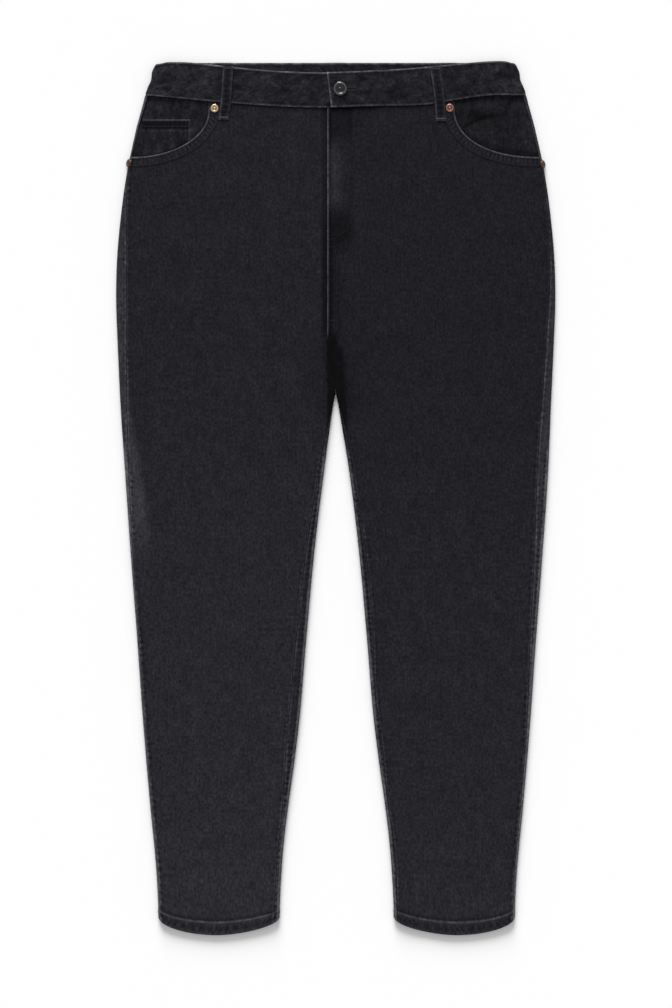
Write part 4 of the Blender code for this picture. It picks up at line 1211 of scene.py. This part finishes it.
def loop_relief(across, rise, length):
    """Relief and fade of a belt loop: folded edges, two rows of stitches and turned ends."""
    edge, end = LOOP_WIDTH / 2 - abs(across), np.minimum(rise, length - rise)
    rope = roping(rise, 6.0, 0.7)
    relief = round_off(edge, 1.1, 0.8) + round_off(end, 1.0, 0.6) - 0.16 * hill(edge, 2.4, 0.6)
    relief = relief + 0.1 * rope * hill(across, 0.0, 3.0)
    uneven = 0.8 + 0.35 * roping(rise, 15.0, 2.0)
    # Pale lines of wear on both folded edges; the left one is brighter as painted highlight.
    light = np.where(across < 0, 3.8, 1.5) * uneven * hill(edge, 0.8, 0.7) + 0.3 * rope - 0.1
    return relief, light + hills(end, (1.3, 0.8, 1.0), (-0.3, 3.6, 1.4)) - 0.35 * hill(across, 0.0, 2.6)


LOOP_ACROSS = LOOP_WIDTH / 2 * np.array([-1, -0.95, -0.87, -0.74, -0.6, -0.4, -0.2])
LOOP_ACROSS = np.concatenate([LOOP_ACROSS, [0.0], -LOOP_ACROSS[::-1]])


def loop_grid(low, high, step):
    """Places across and up a belt loop between these heights, with rows at its turned ends."""
    y = between([low, low + 2.0, high - 2.0, high], step)[:, None]
    return np.broadcast_arrays(LOOP_ACROSS, y)


def loop_middle(ends, share):
    """Place across of a front loop's middle, at a share of the way up it."""
    top_x, _, low_x, _ = ends
    return low_x + (top_x - low_x) * share + 0.7 * np.sin(share * math.pi * 1.3)


def make_front_loop(name, ends, material):
    """A belt loop over the front of the waistband, sewn down at both ends."""
    top_x, top_y, _, low_y = ends
    side = LEFT if top_x > 0 else RIGHT
    seam = float(front_waist(side, abs(top_x)))
    across, y = loop_grid(low_y, top_y, 1.3)
    middle = loop_middle(ends, (y - low_y) / (top_y - low_y))
    cloth_z, band_z = front_height(side, abs(middle), y), band_height(middle, False)
    z = cloth_z + (band_z - cloth_z) * ease(low_y + 6.0, seam + 1.0, y)
    z = z + 0.35 + LOOP_BULGE * ease(seam - 6.0, seam + 16, y) * ease(top_y, top_y - 18, y)
    tuck = hills(y, (0.45, low_y + 3.0, 1.6), (0.4, top_y - 2.6, 1.6))
    relief, light = loop_relief(across, y - low_y, top_y - low_y)
    outer = np.stack([middle + across, y, z + LOOP_WALL + relief - tuck], axis=-1)
    inner = np.stack([middle + across, y, z - 0.5 * tuck], axis=-1)
    cloth = cloth_at(across, y, PATCHES["front_loop"] + top_x)
    name, under = f"loop_front_{name}", ["waistband", f"front_{name}"]
    return make_cloth(name, outer, inner, 1 + light, cloth, material, under, f"belt_{name}")


def make_back_loop(name, middle, material):
    low, high = BACK_LOOP_SPAN
    across, y = loop_grid(low, high, 2.0)
    relief, light = loop_relief(across, y - low, high - low)
    outer = np.stack([middle + across, y, FLOOR_CLEAR - relief], axis=-1)
    inner = np.stack([middle + across, y, FLOOR_CLEAR + LOOP_WALL + 0 * y], axis=-1)
    cloth, name = cloth_at(across, y, PATCHES["back_loop"] + middle), f"loop_{name}"
    return make_cloth(name, outer, inner, 1 + light, cloth, material, [], f"belt_{name}")


def back_pocket_side(share_across, heights):
    """Places out from the middle of a back pocket's columns at these heights."""
    inner_side, outer_side, top = BACK_POCKET
    middle, half = (inner_side + outer_side) / 2, (outer_side - inner_side) / 2
    narrow = BACK_POCKET_TAPER * (top - heights) / (top - BACK_POCKET_SIDES)
    return middle + share_across * (half - narrow)


def make_back_pocket(side, material):
    """A back pocket on the floor side, with its lower edge drawn to a point."""
    inner_side, outer_side, top = BACK_POCKET
    edges = np.array([0.0, 0.006, 0.015, 0.03, 0.05, 0.08])
    shares = np.concatenate([edges, np.linspace(0.11, 0.89, 40), 1 - edges[::-1]])
    across = 2 * shares[:, None] - 1
    bottom = BACK_POCKET_POINT + (BACK_POCKET_SIDES - BACK_POCKET_POINT) * abs(across)
    y = bottom + (top - bottom) * shares
    x = back_pocket_side(across, y)
    from_side = (1 - abs(across)) * (outer_side - inner_side) / 2
    from_edge = np.minimum(np.minimum(from_side, shares * 140.0), top - y)
    rope = roping(x + y, 6.0, 1.8)
    relief = round_off(from_edge, 1.2, 0.6) + 0.1 * (rope - 1) * hill(from_edge, 4.5, 3.0)
    light = 0.8 * hill(from_edge, 0.4, 0.9) + 0.16 * rope * hill(from_edge, 4.5, 3.0)
    outer = placed(side, x, y, FLOOR_CLEAR - relief)
    inner = placed(side, x, y, FLOOR_CLEAR + WALL)
    cloth = cloth_at(x, y, PATCHES["back_pocket"] * side.sign)
    name = f"back_pocket_{side.name}"
    return make_cloth(name, outer, inner, 1.1 * (1 + light), cloth, material, [])


# Sewing


class Surface:
    """What the stitches lie on, found by looking down on it, or up from the floor."""

    def __init__(self, pieces):
        points, faces = [], []
        for piece in pieces:
            start = len(points)
            points += [vertex.co[:] for vertex in piece.data.vertices]
            faces += [[start + v for v in face.vertices] for face in piece.data.polygons]
        self.tree = BVHTree.FromPolygons(points, faces)

    def under(self, x, y, upward):
        """The point and the normal at a place, or None where nothing is met."""
        height = -0.05 if upward else 0.05
        aim = Vector((0, 0, 1)) if upward else Vector((0, 0, -1))
        point, normal, _, _ = self.tree.ray_cast(Vector((x * MM, y * MM, height)), aim)
        if point is None:
            return None
        facing = normal if normal.dot(aim) < 0 else -normal
        return np.array(point) / MM, np.array(facing)


RING = 6  # sides of a stitch
STITCH_RINGS = (  # share of the way along, size and lift
    (0.0, 0.45, -0.22),
    (0.16, 0.85, 0.05),
    (0.5, 1.0, 0.1),
    (0.84, 0.85, 0.05),
    (1.0, 0.45, -0.22),
)


class Sewing:
    """Stitches gathered into one mesh."""

    def __init__(self, surface):
        self.surface = surface
        self.points, self.faces, self.tones_and_painted_light = [], [], []

    def bar(self, start, end, normal, width, height, fade):
        """One stitch: a thin bar that dips into the cloth at both ends."""
        along = (end - start) / np.linalg.norm(end - start)
        across = np.cross(normal, along)
        across /= np.linalg.norm(across)
        first = len(self.points)
        for share, size, lift in STITCH_RINGS:
            middle = start + (end - start) * share + normal * lift * height
            for k in range(RING):
                turn = 2 * math.pi * k / RING
                offset = across * math.cos(turn) * width + normal * math.sin(turn) * height
                self.points.append(middle + offset * size / 2)
                # Painted highlight: the upper half of each stitch is drawn lighter than the lower half.
                self.tones_and_painted_light.append(fade * (0.9 + 0.2 * (math.sin(turn) > 0)))
        last = len(self.points) - RING
        for ring in range(first, last, RING):
            for k in range(RING):
                a, b = ring + k, ring + (k + 1) % RING
                self.faces.append((a, b, b + RING, a + RING))
        self.faces.append(tuple(range(first, first + RING))[::-1])
        self.faces.append(tuple(range(last, last + RING)))

    def row(self, x, y, upward=False, seed=0.0, fade=0.8):
        """Stitches along a path of places across and up the garment."""
        x, y = np.broadcast_arrays(np.asarray(x, dtype=float), y)
        run = run_along(x, y)
        count = int(run[-1] // PITCH)
        for k in range(count):
            start = run[-1] * k / count + 0.15 * math.sin(2.3 * k + seed)
            ends = [start, start + STITCH]
            places = zip(np.interp(ends, run, x), np.interp(ends, run, y))
            met = [self.surface.under(*place, upward) for place in places]
            if met[0] is None or met[1] is None or abs(met[0][0][2] - met[1][0][2]) > 1.2:
                continue
            normal = met[0][1] + met[1][1]
            normal = normal / np.linalg.norm(normal)
            lift = normal * THREAD[1] * 0.18
            worn = 1.0 + 0.22 * math.sin(1.7 * k + seed) + 0.1 * math.sin(5.1 * k)
            self.bar(met[0][0] + lift, met[1][0] + lift, normal, *THREAD, fade * worn)

    def tack(self, x, y, wide, tall, upward=False, fade=2.6):
        """A bar tack: a close row of short stitches across the end of a loop."""
        for k in range(TACK_COUNT):
            share = (k + 0.5) / TACK_COUNT - 0.5
            point, normal = self.surface.under(x + wide * share, y, upward)
            along = TACK_ALONG - normal * TACK_ALONG.dot(normal)
            half = along / np.linalg.norm(along) * (tall + 0.16 * math.sin(4.3 * k)) / 2
            point = point + normal * 0.12
            self.bar(point - half, point + half, normal, wide / TACK_COUNT * 1.25, 0.5, fade)

    def finish(self, name, material):
        points, faces, tones_and_painted_light = self.points, self.faces, self.tones_and_painted_light
        made = add_mesh(f"stitches_{name}", points, faces, material, 80.0, fade=tones_and_painted_light)
        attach(made, "root")


def sew_hem(sewing, side, margin, **how):
    """The row of stitches round a hem, this far in from its folds."""
    y = HEM + HEM_STITCHES
    x = np.linspace(float(inner_edge(y)) + margin, float(outer_edge(y)) - margin, 60)
    sewing.row(side.sign * x + lean(y), y - hem_sag(x, np.full(x.shape, y)), **how)


def sew_fronts(surface, material):
    for side in (RIGHT, LEFT):
        sewing = Sewing(surface)
        edge, number = front_top_edge(side)
        for depth, seed in ((1.9, 0.3), (0.9 + ROW_SPACING, 1.9)):
            line, _ = top_offsets(edge, number, depth)
            x, y = line[number + 3 :].T
            sewing.row(side.sign * x, y, seed=seed)
        sew_hem(sewing, side, 3.0, seed=0.7)
        if side.sign > 0:
            for offset in (0.0, ROW_SPACING):
                sewing.row(*fly_path(offset), seed=offset, fade=0.3)
            for across in (EDGE_ROW, EDGE_ROW + ROW_SPACING):
                y = np.linspace(FLY_FOOT - 8.0, 202.0, 40)
                sewing.row(CENTRE_FRONT[0][1] + across, y, seed=across, fade=0.5)
        sewing.finish(f"front_{side.name}", material)


def sew_coin_pocket(surface, material):
    sewing = Sewing(surface)
    inner_side, outer_side, top = COIN_POCKET
    for down in (EDGE_ROW, 8.6):
        sewing.row((-outer_side + 1.0, -inner_side - 1.2), top - down, seed=down)
    for across in (EDGE_ROW, 5.6):
        low = float(pocket_edge(RIGHT_POCKET, inner_side + across)) + 3.0
        sewing.row(-(inner_side + across), np.array([top - 2.0, low]), seed=across)
    sewing.finish("coin_pocket", material)


def sew_waistband(surface, material):
    sewing = Sewing(surface)
    for seed in (0.0, 1.0):
        for upper, first, last in WAIST_ROWS:
            x = np.linspace(first, last, 200)
            low, high = band_edges(x, upper)
            sewing.row(x, high - 2.2 if seed else low + 2.0, not upper, seed)
    low, high = band_edges(-8.0, True)
    sewing.row((FLAP_END[0] + 2.0, FLAP_END[1] + 2.4), np.array([low + 2.2, high - 2.2]), seed=2.0)
    x, y = BUTTON_PLACE
    half = np.array([0.0, 1.1, 0.0])
    for side in (-1, 1):
        for k in range(HOLE_COUNT):
            place = (x + 4.0 + HOLE_LENGTH * k / HOLE_COUNT, y + side * 1.5)
            point, normal = surface.under(*place, False)
            sewing.bar(point - half, point + half, normal, 0.6, 0.4, 0.4)
    sewing.finish("waistband", material)


def sew_loops(surface, material):
    sewing = Sewing(surface)
    beside = LOOP_WIDTH / 2 - 2.4
    for ends in FRONT_LOOPS.values():
        top_x, top_y, low_x, low_y = ends
        share = np.linspace(0.07, 0.94, 40)
        for across in (-1, 1):
            x = loop_middle(ends, share) + across * beside
            sewing.row(x, low_y + (top_y - low_y) * share, seed=across)
        sewing.tack(low_x, low_y + 3.2, LOOP_WIDTH - 1.4, 2.2)
        sewing.tack(top_x, top_y - 2.8, LOOP_WIDTH - 1.6, 1.9, fade=1.2)
    low, high = BACK_LOOP_SPAN
    for middle in BACK_LOOPS.values():
        for across in (-1, 1):
            x = middle + across * beside
            sewing.row(x, np.array([low + 3.0, high - 3.0]), True, seed=across)
        for y in (low + 2.4, high - 2.4):
            sewing.tack(middle, y, LOOP_WIDTH - 1.4, 2.2, upward=True)
    sewing.finish("loops", material)


def sew_backs(surface, material):
    """Double rows round the back pockets, along the yoke seams and down the back seam."""
    sewing = Sewing(surface)
    inner_side, outer_side, top = BACK_POCKET
    for side in (RIGHT, LEFT):
        for inset in (1.8, 1.8 + ROW_SPACING * 0.72):
            across = np.array([-1, -1, 0, 1, 1])
            heights = np.array([top, BACK_POCKET_SIDES, top, BACK_POCKET_SIDES, top])
            x = back_pocket_side(across, heights) - across * inset
            sides_y, point_y = BACK_POCKET_SIDES + inset * 0.8, BACK_POCKET_POINT + inset * 1.1
            y = np.array([top - 1.0, sides_y, point_y, sides_y, top - 1.0])
            sewing.row(side.sign * x, y, True, seed=inset)
        for down in (1.8, 12.0):
            x = side.sign * np.array([inner_side + 2.4, outer_side - 2.4])
            sewing.row(x, top - down, True, seed=down)
        x = np.linspace(3.0, 238.0, 80)
        for up in (1.8, 8.4):
            sewing.row(side.sign * x, straight(YOKE_SEAM, x) + up, True, seed=up)
        sew_hem(sewing, side, 4.0, upward=True, seed=1.2)
    for x in (1.9, 8.4):
        sewing.row(x, np.array([408.0, 140.0]), True, seed=x)
    sewing.finish("back", material)


# Metal


def turned(node, profile, tones_and_painted_light, steps, material, place, tilt=0.0, yaw=0.0):
    """A closed solid turned from a profile of radius and height, that stands for a node."""
    turns = np.linspace(0.0, 2 * math.pi, steps, endpoint=False)
    points, faces, values, rings = [], [], [], []
    for (radius, height), fade in zip(profile, tones_and_painted_light):
        count = 1 if radius == 0 else steps
        rings.append(range(len(points), len(points) + count))
        for turn in turns[:count]:
            points.append((radius * math.cos(turn), radius * math.sin(turn), height))
        values += [fade] * count
    for low, high in zip(rings, rings[1:]):
        for k in range(steps):
            corners = [(low, k), (low, k + 1), (high, k + 1), (high, k)]
            faces.append(tuple(dict.fromkeys(ring[at % len(ring)] for ring, at in corners)))
    turn = np.array(Matrix.Rotation(yaw, 3, "Z") @ Matrix.Rotation(math.radians(tilt), 3, "Y"))
    points = np.array(points) @ turn.T + np.array(place)
    made = add_mesh(f"metal_{node}", points, faces, material, 32.0, fade=values)
    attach(made, "root")
    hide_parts(node)


def arc_profile(centre_radius, centre_height, radius, start, end, count):
    """Points of a profile along an arc, its angles in degrees from straight out."""
    angles = np.radians(np.linspace(start, end, count))
    return [(centre_radius + radius * math.cos(a), centre_height + radius * math.sin(a)) for a in angles]


def make_button(material):
    profile = [(0.0, 3.25), *arc_profile(0.55, 2.65, 0.6, 80, 0, 6), (1.3, 2.3), (1.7, 2.05)]
    profile += [(2.3, 1.95), (3.6, 1.95), (4.5, 2.0), (4.9, 2.2), (5.05, 2.5)]
    profile += arc_profile(6.4, 2.35, 1.1, 165, 90, 7) + arc_profile(7.05, 2.25, 1.2, 85, -10, 9)
    profile += [(8.2, 1.7), (7.6, 1.2), (6.4, 0.95), (3.4, 0.9), (3.2, 0.0), (0.0, 0.0)]
    # The raised rim is drawn lighter, partly wear and partly painted highlight; the sunken ring is
    # darker.
    tones_and_painted_light = [1.5 if r > 6.0 and h > 1.9 else (0.6 if 1.2 < r < 5.0 else 1.2) for r, h in profile]
    x, y = BUTTON_PLACE
    place = (x, y, float(band_height(x, True)) + 0.35)
    turned("button", profile, tones_and_painted_light, 64, material, place)


def make_rivets(surface, materials):
    profile = [(0.0, 1.75), (0.5, 1.72), *arc_profile(0.75, 1.05, 0.62, 75, 0, 5)]
    profile += [(1.5, 0.72), (2.0, 0.6), (2.5, 0.68), *arc_profile(3.3, 0.62, 0.62, 150, 90, 4)]
    profile += [*arc_profile(4.1, 0.42, 0.8, 85, 0, 7), (4.9, 0.0), (0.0, 0.0)]
    tones_and_painted_light = [0.55 if 1.4 < r < 2.7 else 1.1 for r, _ in profile]
    for name, (x, y) in TOP_RIVETS.items():
        point, _ = surface.under(x, y, False)
        place = (x, y, point[2] + 0.05)
        turned(f"rivet_top_{name}", profile, tones_and_painted_light, 40, materials[name], place)
    dull = [0.35 * fade for fade in tones_and_painted_light]
    turn, reach = math.radians(SIDE_RIVET_TILT), FOLD + GAP
    for name, (sign, y) in SIDE_RIVETS.items():
        x = float(outer_edge(y)) - FOLD + reach * math.cos(turn)
        place = (sign * x, y, FOLD + reach * math.sin(turn))
        slope = float(outer_edge(y - FOLD) - outer_edge(y + FOLD)) / (2 * FOLD)
        tilt, yaw = sign * (90.0 - SIDE_RIVET_TILT), sign * math.atan(slope)
        turned(f"rivet_side_{name}", profile, dull, 40, materials["left"], place, tilt, yaw)


# Materials


class Nodes:
    """Short calls for the nodes that a material is made of."""

    def __init__(self, name):
        self.material = bpy.data.materials.new(name)
        self.material.use_nodes = True
        self.tree = self.material.node_tree
        self.shader = self.tree.nodes["Principled BSDF"]

    def add(self, kind, **settings):
        node = self.tree.nodes.new(kind)
        for key, value in settings.items():
            setattr(node, key, value)
        return node

    def feed(self, socket, value):
        if isinstance(value, bpy.types.NodeSocket):
            self.tree.links.new(value, socket)
        else:
            socket.default_value = value

    def attribute(self, name, output):
        return self.add("ShaderNodeAttribute", attribute_name=name).outputs[output]

    def maths(self, operation, a, b=0.0, c=0.0):
        node = self.add("ShaderNodeMath", operation=operation)
        for socket, value in zip(node.inputs, (a, b, c)):
            self.feed(socket, value)
        return node.outputs[0]

    def vector_maths(self, operation, a, b, output="Vector"):
        node = self.add("ShaderNodeVectorMath", operation=operation)
        self.feed(node.inputs[0], a)
        self.feed(node.inputs[1], b)
        return node.outputs[output]

    def noise(self, vector, scale, detail=2.0):
        node = self.add("ShaderNodeTexNoise")
        node.inputs["Scale"].default_value = 1.0
        node.inputs["Detail"].default_value = detail
        self.feed(node.inputs["Vector"], self.vector_maths("MULTIPLY", vector, scale))
        return node.outputs[0]

    def around_one(self, value, amount):
        """1 where a noise is at its middle, and this much more or less at its ends."""
        spread = self.maths("SUBTRACT", value, 0.5)
        return self.maths("MULTIPLY_ADD", spread, amount, 1.0)

    def tinted(self, tint, strength):
        node = self.add("ShaderNodeVectorMath", operation="SCALE")
        node.inputs[0].default_value = tint
        self.feed(node.inputs["Scale"], strength)
        return node.outputs[0]

    def colour(self, tint, strength, pale=None):
        """The tint up to a strength of 1, and the pale tint for what goes over it."""
        over = self.maths("MAXIMUM", self.maths("SUBTRACT", strength, 1.0), 0.0)
        both = self.add("ShaderNodeVectorMath", operation="ADD")
        self.feed(both.inputs[0], self.tinted(tint, self.maths("MINIMUM", strength, 1.0)))
        self.feed(both.inputs[1], self.tinted(pale or tint, over))
        self.feed(self.shader.inputs["Base Color"], both.outputs[0])

    def bump(self, height, distance=MM):
        node = self.add("ShaderNodeBump")
        node.inputs["Strength"].default_value = 1.0
        node.inputs["Distance"].default_value = distance
        self.feed(node.inputs["Height"], height)
        self.feed(self.shader.inputs["Normal"], node.outputs[0])

    def settle(self, **values):
        """Set the shader's own sockets, named as the shader names them but for the spaces."""
        for key, value in values.items():
            self.shader.inputs[key.replace("_", " ")].default_value = value


TWILL = 0.95  # between the ridges of the twill
PALE = (0.0130, 0.0126, 0.0138)


def denim(name, tint, streak, fleck, mottle, grain=(0.42, 0.06, 1.0)):
    """Washed twill: slanted ridges, pale flecks, streaks along the warp and a slow mottle, over each
    point's tone, which holds painted shade and painted highlight too.
    """
    n = Nodes(name)
    place = n.attribute("cloth", "Vector")
    value = n.attribute("fade", "Fac")
    streaks = n.noise(place, grain, 2.0)
    flecks = n.noise(place, (0.38, 0.27, 1.0), 3.0)
    slow = n.noise(place, (0.045, 0.03, 1.0), 3.0)
    patches = n.noise(place, (0.13, 0.09, 1.0), 2.0)
    slant = (2 * math.pi / TWILL, -1.5 * math.pi / TWILL, 0.0)
    ridge = n.maths("SINE", n.vector_maths("DOT_PRODUCT", place, slant, "Value"))
    broken = n.noise(place, (2.6, 1.4, 1.0), 1.0)
    weave = n.maths("MULTIPLY", ridge, broken)
    parts = ((streaks, streak), (flecks, fleck), (slow, mottle), (patches, 1.4 * mottle))
    for noise, amount in parts:
        value = n.maths("MULTIPLY", value, n.around_one(noise, amount))
    value = n.maths("MULTIPLY", value, n.maths("MULTIPLY_ADD", weave, 0.3, 1.0))
    n.colour(tint, value, PALE)
    fuzz = n.maths("MULTIPLY", flecks, 0.1)
    n.bump(n.maths("MULTIPLY_ADD", weave, 0.05, fuzz))
    n.settle(Roughness=0.92, Specular_IOR_Level=0.06, Sheen_Weight=0.03, Sheen_Roughness=0.5)
    return n.material


def thread_material():
    n = Nodes("thread")
    place = n.add("ShaderNodeTexCoord").outputs["Object"]
    twist = n.noise(place, (2600.0, 2600.0, 2600.0), 1.0)
    value = n.maths("MULTIPLY", n.attribute("fade", "Fac"), n.around_one(twist, 0.5))
    n.colour((0.0185, 0.0178, 0.0215), value)
    n.bump(n.maths("MULTIPLY", twist, 0.12))
    n.settle(Roughness=0.7, Specular_IOR_Level=0.25)
    return n.material


def metal_material(name, tint, roughness):
    n = Nodes(name)
    place = n.add("ShaderNodeTexCoord").outputs["Object"]
    worn = n.noise(place, (700.0, 700.0, 700.0), 3.0)
    fine = n.noise(place, (3200.0, 3200.0, 3200.0), 1.0)
    value = n.maths("MULTIPLY", n.attribute("fade", "Fac"), n.around_one(worn, 0.6))
    n.colour(tint, value)
    n.feed(n.shader.inputs["Roughness"], n.maths("MULTIPLY_ADD", worn, 0.2, roughness - 0.1))
    n.bump(n.maths("MULTIPLY", fine, 0.02))
    n.settle(Metallic=1.0)
    return n.material


def floor_material():
    n = Nodes("floor")
    place = n.add("ShaderNodeTexCoord").outputs["Object"]
    grain = n.noise(place, (60.0, 60.0, 60.0), 2.0)
    n.colour((0.9, 0.9, 0.9), n.around_one(grain, 0.004))
    n.settle(Roughness=0.9, Specular_IOR_Level=0.0)
    return n.material


# Floor, light and camera

FLOOR_REACH = 24000.0  # so that its far edges lie outside every view
FLOOR_BELOW = 0.05
FLOOR_SQUARES = 24


def make_floor():
    places = np.linspace(-FLOOR_REACH, FLOOR_REACH, FLOOR_SQUARES + 1)
    points = [(x * MM, y * MM, -FLOOR_BELOW * MM) for y in places for x in places]
    rows = np.arange(len(points)).reshape(len(places), -1).tolist()
    faces = []
    for low, high in zip(rows, rows[1:]):
        faces += strip(low, high)
    data = bpy.data.meshes.new("floor")
    data.from_pydata(points, [], faces)
    data.materials.append(floor_material())
    add_object("floor", data)


SKY_LIGHT = 0.57
SUN_LIGHT = 4.95
SUN_SPREAD = 30.0
SUN_AIM = (0.1, -1.0, -0.364)


def make_lights():
    world = bpy.data.worlds.new("studio")
    world.use_nodes = True
    background = world.node_tree.nodes["Background"]
    background.inputs["Color"].default_value = (1.0, 1.0, 1.0, 1.0)
    background.inputs["Strength"].default_value = SKY_LIGHT
    bpy.context.scene.world = world
    sun = bpy.data.lights.new("key", "SUN")
    sun.energy = SUN_LIGHT
    sun.angle = math.radians(SUN_SPREAD)
    key = add_object("key", sun)
    key.rotation_euler = Vector(SUN_AIM).to_track_quat("-Z", "Y").to_euler()


PHOTO_CENTRE = (0.36, -6.84)
PHOTO_HEIGHT = 1209.6  # of the garment's plane, from the photograph's bottom to its top
LENS, SENSOR = 100.0, 36.0
CLOTH_PLANE = 6.0


def make_camera():
    lens = bpy.data.cameras.new("camera")
    lens.lens = LENS
    lens.sensor_width = SENSOR
    lens.clip_end = 30.0
    camera = add_object("camera", lens)
    x, y = PHOTO_CENTRE
    camera.location = (x * MM, y * MM, (PHOTO_HEIGHT * LENS / SENSOR + CLOTH_PLANE) * MM)
    bpy.context.scene.camera = camera


def build():
    cloth = denim("denim", (0.0124, 0.0117, 0.0158), 0.75, 2.1, 0.55)
    band = denim("denim_band", (0.0126, 0.0119, 0.0158), 0.8, 2.6, 1.6, (0.3, 0.2, 1.0))
    facing = denim("denim_facing", (0.0126, 0.0119, 0.0154), 0.8, 2.2, 1.6)
    pieces = []
    for side in (RIGHT, LEFT):
        pieces += [make(side, cloth) for make in (make_front, make_back, make_yoke)]
        pieces.append(make_facing(side, facing))
        pieces.append(make_back_pocket(side, cloth))
    pieces.append(make_coin_pocket(band))
    make_fly_shield(cloth)
    pieces.append(make_waistband(band))
    surface = Surface(pieces)
    pieces += [make_front_loop(name, ends, cloth) for name, ends in FRONT_LOOPS.items()]
    pieces += [make_back_loop(name, middle, cloth) for name, middle in BACK_LOOPS.items()]
    thread = thread_material()
    for sew in (sew_fronts, sew_coin_pocket, sew_waistband, sew_backs):
        sew(surface, thread)
    sew_loops(Surface(pieces), thread)
    make_button(metal_material("dark_metal", (0.08, 0.076, 0.08), 0.3))
    metals = {
        "right": metal_material("pale_brass", (0.60, 0.45, 0.30), 0.34),
        "left": metal_material("copper_brass", (0.32, 0.165, 0.13), 0.36),
    }
    make_rivets(surface, metals)
    make_floor()
    make_lights()
    make_camera()
    bpy.context.scene.view_settings.view_transform = "Standard"


build()
